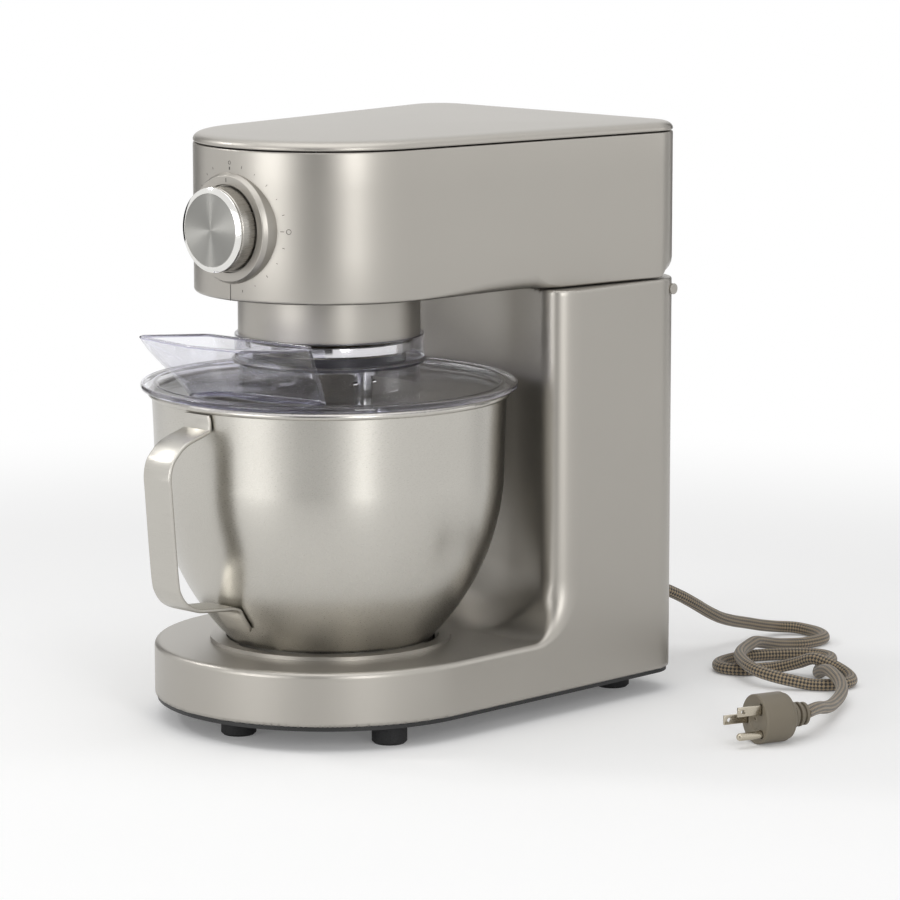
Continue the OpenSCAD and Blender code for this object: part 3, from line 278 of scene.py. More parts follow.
def braid():
    """Braided textile sleeve: dark and gold threads cross as helices, and each crossing stands up a little."""
    colours = bpy.context.scene.mixer_colours
    m, tree = new_material("braided_textile_sleeve", tuple(colours.braid_gold))
    place = add(tree, "UVMap")
    parts = add(tree, "SeparateXYZ", {}, {"Vector": (place, "UV")})
    # u turns once round the cord and v runs along it in metres
    pitch = bpy.context.scene.mixer_sizes.braid_pitch
    along = add(tree, "Math", {1: 1 / pitch}, {0: (parts, "Y")}, operation="MULTIPLY")
    round_it = add(tree, "Math", {1: THREADS}, {0: (parts, "X")}, operation="MULTIPLY")
    waves = []
    for sign in ("ADD", "SUBTRACT"):
        both = add(tree, "Math", {}, {0: (along, "Value"), 1: (round_it, "Value")}, operation=sign)
        angle = add(tree, "Math", {1: math.pi}, {0: (both, "Value")}, operation="MULTIPLY")
        waves.append(add(tree, "Math", {}, {0: (angle, "Value")}, operation="SINE"))
    cross = add(tree, "Math", {}, {0: (waves[0], "Value"), 1: (waves[1], "Value")}, operation="MULTIPLY")
    fuzz = add(tree, "TexNoise", {"Scale": 900.0, "Detail": 2.0}, {"Vector": (add(tree, "TexCoord"), "Object")})
    shade = add(tree, "Math", {1: 0.5}, {0: (fuzz, "Fac"), 2: (cross, "Value")}, operation="MULTIPLY_ADD")
    ramp = add(tree, "ValToRGB", {}, {"Fac": (shade, "Value")},
               ((0.1, tuple(colours.braid_dark)), (0.42, tuple(colours.braid_gold))))
    lift = add(tree, "Math", {}, {0: (cross, "Value")}, operation="ABSOLUTE")
    bump = add(tree, "Bump", {"Strength": 1.0, "Distance": 0.35 * MM}, {"Height": (lift, "Value")})
    gloss = add(tree, "MapRange", {"To Min": 0.5, "To Max": 0.7}, {"Value": (fuzz, "Fac")})
    surface = add(tree, "BsdfPrincipled", {"Sheen Weight": 0.3},
                  {"Base Color": (ramp, "Color"), "Roughness": (gloss, "Result"), "Normal": (bump, "Normal")})
    add(tree, "OutputMaterial", {}, {"Surface": (surface, "BSDF")})
    return m


# Finishes with a plain grain: name, shader, colour, grain and depth in millimetres, roughness, tint.
# Where the real grain is too fine to show, it is drawn as coarse as it needs to show.
PLAIN = {
    # a fine spark grain dulls the black
    "black": ("moulded_black_abs", {"IOR": 1.53}, "#131314", 0.6, 0.02, (0.4, 0.55), 0.06),
    # matt, so that it takes nearly all light
    "rubber": ("moulded_rubber", {"IOR": 1.52}, "#0E0E10", 0.5, 0.03, (0.6, 0.8), 0.08),
    # waxy dark grey, smoother than the black
    "dark": ("dark_moulded_nylon", {"IOR": 1.53}, "#2C2B2C", 0.6, 0.02, (0.35, 0.5), 0.06),
    # flat warm grey, thin enough to have no edge of its own
    "ink": ("pad_printed_ink", {"IOR": 1.5}, "#4A4744", 0.3, 0.002, (0.45, 0.6), 0.03),
    # dull grey with the coarse skin of the die
    "cast": ("cast_zinc_alloy", {"Metallic": 1.0}, "#9A9C9E", 1.2, 0.05, (0.45, 0.6), 0.05),
    # clean and bright, with small soft highlights
    "zinc": ("bright_zinc_plate", {"Metallic": 1.0}, "#C6C6C2", 0.5, 0.01, (0.2, 0.35), 0.05),
    # bright, with tight highlights
    "shaft": ("ground_steel", {"Metallic": 1.0}, "#CFCFCC", 0.3, 0.004, (0.15, 0.28), 0.03),
    # a warm grey shine
    "pins": ("nickel_plated_brass", {"Metallic": 1.0}, "#BDB5A5", 0.5, 0.008, (0.2, 0.34), 0.04),
    # a yellow shine
    "brass": ("cut_brass", {"Metallic": 1.0}, "#C09A54", 0.4, 0.01, (0.22, 0.36), 0.04),
    # green with the weave of the glass showing through
    "board": ("green_fibreglass_board", {"IOR": 1.55}, "#2F5D43", 0.8, 0.02, (0.35, 0.5), 0.1),
    # even ivory, a little waxy
    "pale": ("pale_moulded_nylon", {"IOR": 1.53}, "#D9D4C8", 0.6, 0.01, (0.4, 0.5), 0.03),
    # gritty charcoal without shine
    "ferrite": ("sintered_ferrite", {"IOR": 1.6}, "#3C3F44", 0.5, 0.03, (0.55, 0.7), 0.08),
    # wires of 0.5 mm side by side, a brown-orange lustre
    "winding": ("enamelled_copper_winding", {"Metallic": 1.0}, "#A86A3C", 0.5, 0.1, (0.25, 0.4), 0.2),
}
KNOB_AXIS = (0, 0, KNOB_Z)
RECIPES = {
    "paint": satin_paint,
    # brushed round the bowl: light stands in upright bands
    "bowl": lambda: brushed_steel("brushed_stainless_bowl", "ROUND_Z"),
    # brushed across the strap: light runs along it
    "strap": lambda: brushed_steel("brushed_stainless_strap", "X", rough=(0.26, 0.36)),
    # turned on its face: two bright fans meet at its centre
    "spun": lambda: brushed_steel("spun_aluminium_face", "ROUND_Y", linear("#A3A29E"), (0.44, 0.56), 0.002, KNOB_AXIS,
                                  0.3, 0.06, 0.95),
    # fine flutes along the skirt: thin light and dark lines
    "knob": lambda: brushed_steel("turned_aluminium_skirt", "Y", linear("#A9A6A0"), (0.2, 0.4), 0.03, KNOB_AXIS,
                                  0.6, 0.12),
    # polished: nearly a mirror
    "bright": lambda: brushed_steel("polished_steel_ring", "ROUND_Z", linear("#E2E1DD"), (0.06, 0.12), 0.001),
    "clear": lambda: clear_plastic("clear_moulded_copolyester", ("#FCFCFE", "#FFFFFF"), (0.04, 0.38)),
    # seen along the sheet, so nearly all surface and a little violet: the faint violet is the plastic's own tint, and
    # the darker shades are painted shade for the dark outline of a clear edge
    "edge": lambda: clear_plastic("clear_copolyester_edge_painted_shade", ("#A8A5BC", "#CFCDDC"), (0.9, 1.0)),
    "braid": braid,
    # soft and even, without a clear highlight
    "taupe": lambda: finish("moulded_taupe_pvc", {"IOR": 1.5}, tuple(bpy.context.scene.mixer_colours.plug),
                            0.5, 0.01, (0.42, 0.55), 0.03),
}
MADE = {}


def material(key):
    """The finish of that name, made once."""
    if key in PLAIN and key not in MADE:
        name, shader, code, *texture = PLAIN[key]
        MADE[key] = finish(name, shader, linear(code), *texture)
    if key not in MADE:
        MADE[key] = RECIPES[key]()
    return MADE[key]


# which frame nodes wear which finish
FRAME_FINISHES = {
    "paint": ("body_shell", "rear_cover", "release_button", "head_shell", "head_cover", "neck_housing", "dial_ring",
              "bowl_seat"),
    "black": ("base_plate", "power_parts", "safety_switch", "cord_gland", "speed_encoder"),
    "rubber": ("feet", "drive_belt"),
    "bright": ("hub_skirt", "tool_pin", "bearings"),
    "cast": ("seat_support", "column_frame", "latch_striker", "motor_mount", "gear_plate"),
    "zinc": ("base_screws", "seat_screws", "rear_cover_screws", "cover_screws", "latch_bolt", "latch_spring"),
    "shaft": ("hinge_pin", "motor_shaft", "layshaft", "main_shaft", "tool_shaft", "encoder_shaft", "motor_can",
              "motor_pulley"),
    "board": ("power_board", "control_board"),
    "pale": ("terminal_block",),
    "ferrite": ("motor_magnets",),
    "winding": ("motor_rotor",),
    "dark": ("planet_carrier", "large_pulley"),
    "brass": ("main_gear", "layshaft_pinion", "planet_pinion", "ring_gear"),
    "knob": ("knob_body",),
    "spun": ("knob_cap",),
    "bowl": ("bowl", "bowl_foot_ring"),
    "strap": ("bowl_handle",),
    "clear": ("lid", "pouring_chute"),
    "braid": ("power_cord",),
    "taupe": ("plug_strain_relief", "plug_body"),
    "pins": ("plug_pins",),
}


# ---------------------------------------------------------------- shared shaping
def nothing_selected():
    """Leaves edit mode and deselects everything."""
    if bpy.context.object and bpy.context.object.mode != "OBJECT":
        bpy.ops.object.mode_set(mode="OBJECT")
    bpy.ops.object.select_all(action="DESELECT")


def only(obj):
    """Selects one object and makes it active."""
    nothing_selected()
    obj.select_set(True)
    bpy.context.view_layer.objects.active = obj
    return obj


def fillet(points, steps=5):
    """An outline of (radius, height, rounding) with its corners rounded, as (radius, height) pairs."""
    out = []
    for i, (x, y, r) in enumerate(points):
        here = Vector((x, y))
        if r <= 0 or i in (0, len(points) - 1):
            out.append(here)
            continue
        a = Vector(points[i - 1][:2]) - here
        b = Vector(points[i + 1][:2]) - here
        half = a.angle(b) / 2
        back = min(r / math.tan(half), a.length * 0.49, b.length * 0.49)
        start, end = here + a.normalized() * back, here + b.normalized() * back
        for k in range(steps + 1):
            t = k / steps
            out.append((1 - t) ** 2 * start + 2 * t * (1 - t) * here + t * t * end)
    return out


def turned(name, outline, steps=144, axis="Z", centre=(0, 0, 0)):
    """A piece turned on a lathe: one point is drawn along the outline, and the line is spun once round."""
    nothing_selected()
    bpy.ops.mesh.primitive_plane_add(size=MM)
    obj = bpy.context.object
    obj.name = name
    bpy.ops.object.mode_set(mode="EDIT")
    bpy.ops.mesh.select_all(action="SELECT")
    bpy.ops.mesh.merge(type="CENTER")
    here = Vector((outline[0][0], 0, outline[0][1])) * MM
    bpy.ops.transform.translate(value=here)
    for x, z in outline[1:]:
        there = Vector((x, 0, z)) * MM
        bpy.ops.mesh.extrude_region_move(TRANSFORM_OT_translate={"value": there - here})
        here = there
    bpy.ops.mesh.select_all(action="SELECT")
    bpy.ops.mesh.spin(steps=steps, angle=2 * math.pi, center=(0, 0, 0), axis=(0, 0, 1))
    bpy.ops.mesh.select_all(action="SELECT")
    bpy.ops.mesh.remove_doubles(threshold=MERGED_BELOW * MM)
    bpy.ops.mesh.normals_make_consistent(inside=False)
    bpy.ops.object.mode_set(mode="OBJECT")
    if axis == "Y":
        obj.data.transform(Matrix.Rotation(math.pi / 2, 4, "X"))
    obj.data.transform(Matrix.Translation(at(*centre)))
    return obj


def from_rings(name, rings, looped=False, capped=True):
    """A skin through rings of as many points each."""
    n = len(rings[0])
    points = [Vector(p) for ring in rings for p in ring]
    faces = []
    for j in range(len(rings) if looped else len(rings) - 1):
        up = (j + 1) % len(rings) * n
        faces += [(j * n + k, j * n + (k + 1) % n, up + (k + 1) % n, up + k) for k in range(n)]
    if capped and not looped:
        faces += [tuple(range(n - 1, -1, -1)), tuple(range(len(points) - n, len(points)))]
    mesh = bpy.data.meshes.new(name)
    mesh.from_pydata(points, [], faces)
    obj = bpy.data.objects.new(name, mesh)
    bpy.context.scene.collection.objects.link(obj)
    only(obj)
    bpy.ops.object.mode_set(mode="EDIT")
    bpy.ops.mesh.select_all(action="SELECT")
    bpy.ops.mesh.remove_doubles(threshold=MERGED_BELOW * MM)
    bpy.ops.mesh.normals_make_consistent(inside=False)
    bpy.ops.object.mode_set(mode="OBJECT")
    return obj


def smooth(obj, degrees=32):
    """Shades smooth, but for edges sharper than the angle."""
    only(obj)
    bpy.ops.object.shade_smooth_by_angle(angle=math.radians(degrees))
    return obj


def worn(obj, kind, body, *nodes):
    """Gives a finished piece its finish, its body, and the frame nodes that it stands for."""
    obj.data.materials.clear()
    obj.data.materials.append(material(kind))
    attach(obj, body)
    if nodes:
        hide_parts(*nodes)
    return obj


def paint_edge_shade(obj, test):
    """Gives the faces whose middle passes the test, by its radius and height, the look of a solid clear edge: a darker
    violet that is painted shade for its dark outline.
    """
    obj.data.materials.append(material("edge"))
    for face in obj.data.polygons:
        c = face.center
        if test(math.hypot(c.x, c.y - BOWL_AXIS_Y * MM) / MM, c.z / MM):
            face.material_index = 1
    return obj


def put():
    """The primitive just made, with its place, turn and size laid into its mesh."""
    bpy.ops.object.transform_apply(location=True, rotation=True, scale=True)
    return bpy.context.object


def block(size, centre=None):
    """A block of that size in millimetres, about a point near the bowl's axis or, without one, about the origin."""
    nothing_selected()
    place = at(*centre) if centre else (0, 0, 0)
    bpy.ops.mesh.primitive_cube_add(size=1, location=place, scale=tuple(s * MM for s in size))
    return put()


def rod(radius, length, centre, turn):
    """A round rod, turned from upright."""
    nothing_selected()
    bpy.ops.mesh.primitive_cylinder_add(
        radius=radius * MM, depth=length * MM, location=at(*centre), rotation=turn, vertices=24)
    return put()


def joined(parts, name):
    """Several objects as one piece of that name."""
    nothing_selected()
    for p in parts:
        p.select_set(True)
    bpy.context.view_layer.objects.active = parts[0]
    bpy.ops.object.join()
    parts[0].name = name
    return parts[0]


def carve(obj, cutter):
    """Takes the cutter's shape out of a piece."""
    only(obj)
    m = obj.modifiers.new("carve", "BOOLEAN")
    m.operation, m.solver, m.object = "DIFFERENCE", "EXACT", cutter
    bpy.ops.object.modifier_apply(modifier=m.name)
    bpy.data.objects.remove(cutter, do_unlink=True)
    return obj


def outline_point(circles, degrees):
    """Point and direction where a string pulled round the circles faces that way."""
    t = math.radians(degrees)
    d = Vector((math.cos(t), math.sin(t)))
    c = max(circles, key=lambda q: q[0] * d.x + q[1] * d.y + q[2])
    return Vector((c[0], c[1])) + d * c[2], d


def head_outline(turn_step=4, flat_step=9.0):
    """Points round the head with the way that each faces, by steps in degrees on its rounds and in mm on its flats."""
    corners = [outline_point(HEAD_CIRCLES, a) for a in range(0, 360, turn_step)]
    out = []
    for i, (p, d) in enumerate(corners):
        q, e = corners[(i + 1) % len(corners)]
        out.append((p, d))
        gap = (q - p).length
        if gap > 1.6 * flat_step:
            count = int(gap // flat_step)
            face = Vector(((q - p).y, -(q - p).x)).normalized()
            out += [(p.lerp(q, k / count), face) for k in range(1, count)]
    return out


def inset_ring(plan, inset, z):
    """The outline drawn in by an inset, at a height."""
    return [at(p.x - d.x * inset, p.y - d.y * inset, z) for p, d in plan]


def ease(t):
    """0 to 1, starting and ending gently."""
    t = np.clip(t, 0.0, 1.0)
    return t * t * (3 - 2 * t)


def skin(name, solid, low, high, step):
    """Wraps a solid, given as a signed distance in millimetres, in small quads that lie on its surface.

    A casting's roundings grow and run into each other in ways that bevels can't give.
    """
    axes = [np.arange(l, h + step, step) for l, h in zip(low, high)]
    inside = solid(*np.meshgrid(*axes, indexing="ij")) < 0
    count = np.zeros([n - 1 for n in inside.shape], int)
    for corner in np.ndindex(2, 2, 2):
        count += inside[tuple(slice(c, c + n - 1) for c, n in zip(corner, inside.shape))]
    crossed = (count > 0) & (count < 8)
    index = np.full(count.shape, -1)
    index[crossed] = np.arange(crossed.sum())
    points = np.argwhere(crossed) * step + step / 2 + np.array(low)

    def slope(p):
        """The way that the surface faces at each point."""
        d = 0.05
        g = np.stack([(solid(*(p + d * e).T) - solid(*(p - d * e).T)) / (2 * d) for e in np.eye(3)], 1)
        return g / np.maximum(np.linalg.norm(g, axis=1, keepdims=True), 1e-6)

    for _ in range(8):
        points = points - np.clip(solid(*points.T), -step, step)[:, None] * slope(points) * 0.9
    faces = []
    for axis in range(3):
        u, v = (axis + 1) % 3, (axis + 2) % 3
        here = [slice(0, n) for n in inside.shape]
        there = list(here)
        here[axis], there[axis] = slice(0, -1), slice(1, None)
        a, b = inside[tuple(here)], inside[tuple(there)]
        for out_first in (True, False):
            cells = np.argwhere((~a & b) if out_first else (a & ~b))
            cells = cells[(cells[:, u] > 0) & (cells[:, v] > 0)]
            around = []
            for du, dv in ((1, 1), (0, 1), (0, 0), (1, 0)):
                q = cells.copy()
                q[:, u] -= du
                q[:, v] -= dv
                around.append(index[tuple(q.T)])
            quad = np.stack(around, 1)
            faces.append(quad[:, ::-1] if out_first else quad)
    faces = np.concatenate(faces)
    mesh = bpy.data.meshes.new(name)
    place = np.stack([points[:, 0], points[:, 1] + BOWL_AXIS_Y, points[:, 2]], 1) * MM
    mesh.from_pydata(place.tolist(), [], faces.tolist())
    mesh.polygons.foreach_set("use_smooth", np.ones(len(faces), bool))
    mesh.normals_split_custom_set_from_vertices(slope(points).tolist())
    obj = bpy.data.objects.new(name, mesh)
    bpy.context.scene.collection.objects.link(obj)
    return obj


def round_both(a, b, r):
    """Where two solids overlap, with the edge between them rounded."""
    return np.minimum(np.maximum(a, b), -r) + np.hypot(np.maximum(a + r, 0), np.maximum(b + r, 0))


# ---------------------------------------------------------------- the stage
# Places on the stage are in metres, about the frame's origin.
CAMERA_AT = (1.88352, -1.87567, 0.59771)
CAMERA_TURN = (80.7468, 0.0, 44.0)
CAMERA_LENS = 170.17
LAMPS_FACE = Vector((0, 0, 0.18))
# name, place, width and height, watts
LAMPS = (
    ("lamp_top", (0.1, -0.2, 2.2), (2.2, 2.2), 18),
    ("lamp_front", (-0.12, -2.4, 0.5), (1.1, 1.0), 13),
    ("lamp_right", (2.2, -0.98, 0.75), (0.5, 1.5), 14),
    ("lamp_knob", (-1.5, -0.9, 1.5), (0.35, 0.35), 7),
    ("lamp_side", (1.7, 1.9, 1.0), (0.9, 1.2), 3))
# name, direction in degrees, width
CARDS = (("card_left", 172, 0.6), ("card_right", 98, 0.6), ("card_side", 64, 0.35), ("card_front", -55, 0.72))
CARD_AWAY, CARD_MIDDLE, CARD_HEIGHT = 1.45, 0.62, 1.2
# where the floor starts and ends to fade into the white
FADE = (0.55, 1.15)
WHITE = (1, 1, 1, 1)


class MIXER_OT_stage(bpy.types.Operator):
    """Camera, floor, world and soft lamps"""

    bl_idname = "mixer.stage"
    bl_label = "Stage"

    def direct(self, tree):
        """An output that is 1 where the background is seen straight, in metal or through clear plastic."""
        ray = add(tree, "LightPath")
        seen = add(tree, "Math", {}, {0: (ray, "Is Camera Ray"), 1: (ray, "Is Glossy Ray")}, operation="MAXIMUM")
        seen = add(tree, "Math", {}, {0: (seen, "Value"), 1: (ray, "Is Transmission Ray")}, operation="MAXIMUM")
        return seen, "Value"

    def paper(self):
        """Pale sweep paper, which keeps the shadow near the mixer and fades into the white behind it."""
        m, tree = new_material("pale_sweep_paper")
        place = add(tree, "TexCoord")
        pulp = add(tree, "TexNoise", {"Scale": 3.0}, {"Vector": (place, "Object")})
        ramp = add(tree, "ValToRGB", {}, {"Fac": (pulp, "Fac")}, ((0, linear("#F4F4F4")), (1, linear("#F7F7F7"))))
        paper = add(tree, "BsdfDiffuse", {}, {"Color": (ramp, "Color")})
        glow = add(tree, "Emission", {"Color": WHITE, "Strength": 0.12})
        lifted = add(tree, "AddShader", {}, {0: (paper, "BSDF"), 1: (glow, "Emission")})
        far = add(tree, "VectorMath", {}, {0: (place, "Object")}, operation="LENGTH")
        fade = add(tree, "MapRange", {"From Min": FADE[0], "From Max": FADE[1]}, {"Value": (far, "Value")},
                   interpolation_type="SMOOTHSTEP")
        white = add(tree, "Emission", {"Color": WHITE, "Strength": 1.0})
        swept = add(tree, "MixShader", {}, {0: (fade, "Result"), 1: (lifted, "Shader"), 2: (white, "Emission")})
        pick = add(tree, "MixShader", {}, {0: self.direct(tree), 1: (paper, "BSDF"), 2: (swept, "Shader")})
        add(tree, "OutputMaterial", {}, {"Surface": (pick, "Shader")})
        return m

    def black_card(self):
        """Black card, which metal shows as its dark bands."""
        m, tree = new_material("black_card")
        fibre = add(tree, "TexNoise", {"Scale": 40.0}, {"Vector": (add(tree, "TexCoord"), "Object")})
        ramp = add(tree, "ValToRGB", {}, {"Fac": (fibre, "Fac")}, ((0, linear("#2A2A2A")), (1, linear("#303030"))))
        card = add(tree, "BsdfDiffuse", {}, {"Color": (ramp, "Color")})
        add(tree, "OutputMaterial", {}, {"Surface": (card, "BSDF")})
        return m

    def sky(self, scene):
        """White where it is seen, and a soft light elsewhere."""
        scene.world = bpy.data.worlds.new("studio")
        scene.world.use_nodes = True
        tree = scene.world.node_tree
        tree.nodes.clear()
        soft = add(tree, "Background", {"Color": WHITE, "Strength": 0.42})
        white = add(tree, "Background", {"Color": WHITE, "Strength": 1.0})
        pick = add(tree, "MixShader", {}, {0: self.direct(tree), 1: (soft, "Background"), 2: (white, "Background")})
        add(tree, "OutputWorld", {}, {"Surface": (pick, "Shader")})

    def execute(self, context):
        scene = context.scene
        scene.view_settings.view_transform = "Standard"
        bpy.ops.object.camera_add(location=CAMERA_AT, rotation=[math.radians(a) for a in CAMERA_TURN])
        camera = context.object
        camera.name = "camera"
        camera.data.sensor_width = 36
        camera.data.lens = CAMERA_LENS
        camera.data.clip_end = 50
        scene.camera = camera

        nothing_selected()
        bpy.ops.mesh.primitive_plane_add(size=30)
        floor = context.object
        floor.name = "floor"
        floor.data.materials.append(self.paper())
        self.sky(scene)

        for name, place, size, watts in LAMPS:
            bpy.ops.object.light_add(type="AREA", location=place)
            lamp = context.object
            lamp.name = name
            lamp.data.shape = "RECTANGLE"
            lamp.data.size, lamp.data.size_y = size
            lamp.data.energy = watts
            lamp.rotation_euler = (LAMPS_FACE - Vector(place)).to_track_quat("-Z", "Y").to_euler()

        card = self.black_card()
        for name, azimuth, wide in CARDS:
            a = math.radians(azimuth)
            place = Vector((CARD_AWAY * math.cos(a), CARD_AWAY * math.sin(a), CARD_MIDDLE))
            nothing_selected()
            bpy.ops.mesh.primitive_plane_add(size=1)
            flag = context.object
            flag.name = name
            turn = Matrix.Rotation(a, 4, "Z") @ Matrix.Rotation(math.pi / 2, 4, "Y")
            flag.data.transform(Matrix.Translation(place) @ turn @ Matrix.Diagonal((CARD_HEIGHT, wide, 1, 1)))
            flag.data.materials.append(card)
            flag.visible_camera = False
            flag.visible_shadow = False
            flag.visible_diffuse = False
        return {"FINISHED"}


class MIXER_OT_frame_finishes(bpy.types.Operator):
    """Finishes of the frame's own pieces, inside and out"""

    bl_idname = "mixer.frame_finishes"
    bl_label = "Frame finishes"

    def execute(self, context):
        for kind, names in FRAME_FINISHES.items():
            for name in names:
                NODES[name].data.materials.clear()
                NODES[name].data.materials.append(material(kind))
        return {"FINISHED"}


# ---------------------------------------------------------------- cord and plug
CORD_RADIUS = 4.0
CORD_SIDES = 20
# Points of the cord's middle line, from the gland to the plug.
CORD_ROUTE = (
    (50, 227, 56), (50, 240, 56), (52, 256, 52), (54, 272, 45), (54, 288, 37), (52, 304, 29),
    (50, 320, 22), (48, 336, 17), (47, 352, 13), (47, 368, 9), (48, 383, 6), (56, 393, 5),
    (68, 396, 4), (80, 392, 4), (89, 384, 4), (92, 373, 4), (91, 360, 4), (88, 347, 5), (88, 334, 7),
    (89, 321, 10), (92, 307, 13), (97, 294, 13), (103, 281, 13), (111, 269, 13), (121, 259, 13),
    (133, 251, 12), (145, 248, 10), (157, 250, 8), (168, 255, 6), (178, 262, 4), (186, 268, 4),
    (191, 277, 4), (190, 287, 4), (184, 294, 5), (175, 296, 8), (165, 295, 11), (154, 293, 13),
    (143, 292, 9), (134, 289, 6), (126, 283, 4), (122, 274, 4), (116, 265, 4), (106, 261, 4), (97, 264, 4),
    (91, 272, 4), (89, 284, 4), (90, 297, 4), (95, 310, 4), (103, 322, 4), (112, 332, 4), (122, 338, 4),
    (132, 337, 4), (139, 330, 4), (144, 319, 4), (149, 307, 4), (156, 296, 4), (164, 287, 6), (173, 279, 10),
    (184, 271, 13), (196, 263, 13), (208, 254, 11), (218, 243, 9), (226, 230, 8), (233, 217, 8), (240, 204, 9),
    (246, 191, 11), (252, 178, 14), (257, 165, 15.5), (260, 155, 15.5))
PLUG_REAR = CORD_ROUTE[-1]
PLUG_YAW = -18.0


def smooth_route(points, per_span=6, lowest=0.0):
    """A curve through the points, with each bend spread over its neighbours, no lower than the lowest height."""
    pts = [Vector(p) for p in points]
    pts = [2 * pts[0] - pts[1]] + pts + [2 * pts[-1] - pts[-2]]
    out = []
    for i in range(1, len(pts) - 2):
        a, b, c, d = pts[i - 1:i + 3]
        for k in range(per_span):
            t = k / per_span
            out.append(0.5 * ((2 * b) + (c - a) * t + (2 * a - 5 * b + 4 * c - d) * t * t
                              + (3 * b - a - 3 * c + d) * t ** 3))
            out[-1].z = max(out[-1].z, lowest)
    return out + [pts[-2]]


class MIXER_OT_cord(bpy.types.Operator):
    """Braided cord, as one tube along its route"""

    bl_idname = "mixer.cord"
    bl_label = "Cord"

    def execute(self, context):
        path = smooth_route(CORD_ROUTE, lowest=CORD_RADIUS)
        sides = CORD_SIDES
        points, faces, uvs = [], [], []
        travel = 0.0
        along = []
        upright = Vector((0, 0, 1))
        for i, p in enumerate(path):
            if i:
                travel += (p - path[i - 1]).length
            along.append(travel * MM)
            d = (path[min(i + 1, len(path) - 1)] - path[max(i - 1, 0)]).normalized()
            u = upright.cross(d).normalized()
            v = d.cross(u)
            points += [at(*(p + CORD_RADIUS * (math.cos(a) * u + math.sin(a) * v)))
                       for a in (2 * math.pi * k / sides for k in range(sides))]
        for i in range(len(path) - 1):
            for k in range(sides):
                after = (k + 1) % sides
                faces.append((i * sides + k, i * sides + after, (i + 1) * sides + after, (i + 1) * sides + k))
                left, right = k / sides, (k + 1) / sides
                uvs += [(left, along[i]), (right, along[i]), (right, along[i + 1]), (left, along[i + 1])]
        last = (len(path) - 1) * sides
        faces += [tuple(range(sides - 1, -1, -1)), tuple(range(last, last + sides))]
        uvs += [(0.5, 0.0)] * (2 * sides)
        mesh = bpy.data.meshes.new("cord")
        mesh.from_pydata(points, [], faces)
        layer = mesh.uv_layers.new(name="sleeve")
        for loop, uv in zip(layer.data, uvs):
            loop.uv = uv
        cord = bpy.data.objects.new("cord", mesh)
        context.scene.collection.objects.link(cord)
        smooth(cord, 60)
        worn(cord, "braid", "body", "power_cord")
        return {"FINISHED"}


def to_plug(obj):
    """Moves a piece made about the plug's own axis, which runs from the cord towards -Y, to its place."""
    obj.data.transform(Matrix.Translation(-at(0, 0, 0)))
    obj.data.transform(Matrix.Translation(at(*PLUG_REAR)) @ Matrix.Rotation(math.radians(PLUG_YAW), 4, "Z"))
    return obj


# Outline of the plug's body, as radius, distance from the cord and rounding.
PLUG_OUTLINE = (
    (0, 12, 0), (8.2, 12, 0.8), (11, 12.6, 1), (13, 14.6, 1.2), (14.4, 15.4, 0.6), (14.4, 17.6, 0.5),
    (15.5, 17.9, 0.8), (15.5, 36.2, 0.8), (14.7, 37, 0.4), (6.4, 37, 0.3), (6, 36.6, 0.3), (2, 36.6, 0.2),
    (1.6, 36.9, 0.2), (0, 36.9, 0))
EARTH_OUTLINE = ((0, 35.8, 0), (2.4, 35.8, 0), (2.4, 52.6, 0.6), (1.4, 54, 0.8), (0, 54, 0))
PLUG_FACE = 37.0
WELL = 1.6
# across and up, on the plug's face
BLADES_AT = ((7.5, 7.5), (-8.5, -0.5))
BLADE_WELL = (2.9, WELL, 7.4)
EARTH_AT, EARTH_WELL = (7.5, -8.0), 2.9
SCREW_AT, SCREW_WELL = (0.5, 0.5), 0.8
BLADE = (1.8, 18.4, 6.0)
BLADE_MIDDLE, BLADE_HOLE_AT, BLADE_HOLE = 44.8, 50.4, 1.5
# the strain relief: its core, and ribs that grow towards the plug
RELIEF_CORE = 5.6
RIB_PITCH, RIB_FROM, RIB_TO, RIB_RADIUS, RIB_GROWS = 4.0, 0.6, 2.8, 7.2, 0.5
RELIEF_END = 12.2


class MIXER_OT_plug(bpy.types.Operator):
    """Moulded plug with its ribbed relief and three prongs"""

    bl_idname = "mixer.plug"
    bl_label = "Plug"

    def execute(self, context):
        body = turned("plug", fillet(PLUG_OUTLINE), 96, "Y")
        for x, z in BLADES_AT:
            carve(body, block(BLADE_WELL, (x, -PLUG_FACE, z)))
        for (x, z), radius in ((EARTH_AT, EARTH_WELL), (SCREW_AT, SCREW_WELL)):
            carve(body, rod(radius, WELL, (x, -PLUG_FACE, z), (math.pi / 2, 0, 0)))
        worn(to_plug(smooth(body)), "taupe", "body", "plug_body")

        outline = [(0, 0, 0), (RELIEF_CORE, 0, 0.5)]
        for i in range(3):
            near, far, r = RIB_FROM + RIB_PITCH * i, RIB_TO + RIB_PITCH * i, RIB_RADIUS + RIB_GROWS * i
            outline += [(RELIEF_CORE, near, 0.5), (r, near, 0.8), (r, far, 0.8), (RELIEF_CORE, far, 0.5)]
        outline += [(RELIEF_CORE + 0.2, RELIEF_END, 0.3), (0, RELIEF_END, 0)]
        relief = turned("plug_relief", fillet(outline, 4), 64, "Y")
        worn(to_plug(smooth(relief)), "taupe", "body", "plug_strain_relief")

        prongs = []
        for x, z in BLADES_AT:
            blade = block(BLADE, (x, -BLADE_MIDDLE, z))
            m = blade.modifiers.new("edge", "BEVEL")
            m.width, m.segments = 0.5 * MM, 3
            bpy.ops.object.modifier_apply(modifier=m.name)
            prongs.append(carve(blade, rod(BLADE_HOLE, 4, (x, -BLADE_HOLE_AT, z), (0, math.pi / 2, 0))))
        prongs.append(turned("earth", fillet(EARTH_OUTLINE), 32, "Y", (EARTH_AT[0], 0, EARTH_AT[1])))
        worn(to_plug(smooth(joined(prongs, "plug_prongs"))), "pins", "body", "plug_pins")
        return {"FINISHED"}


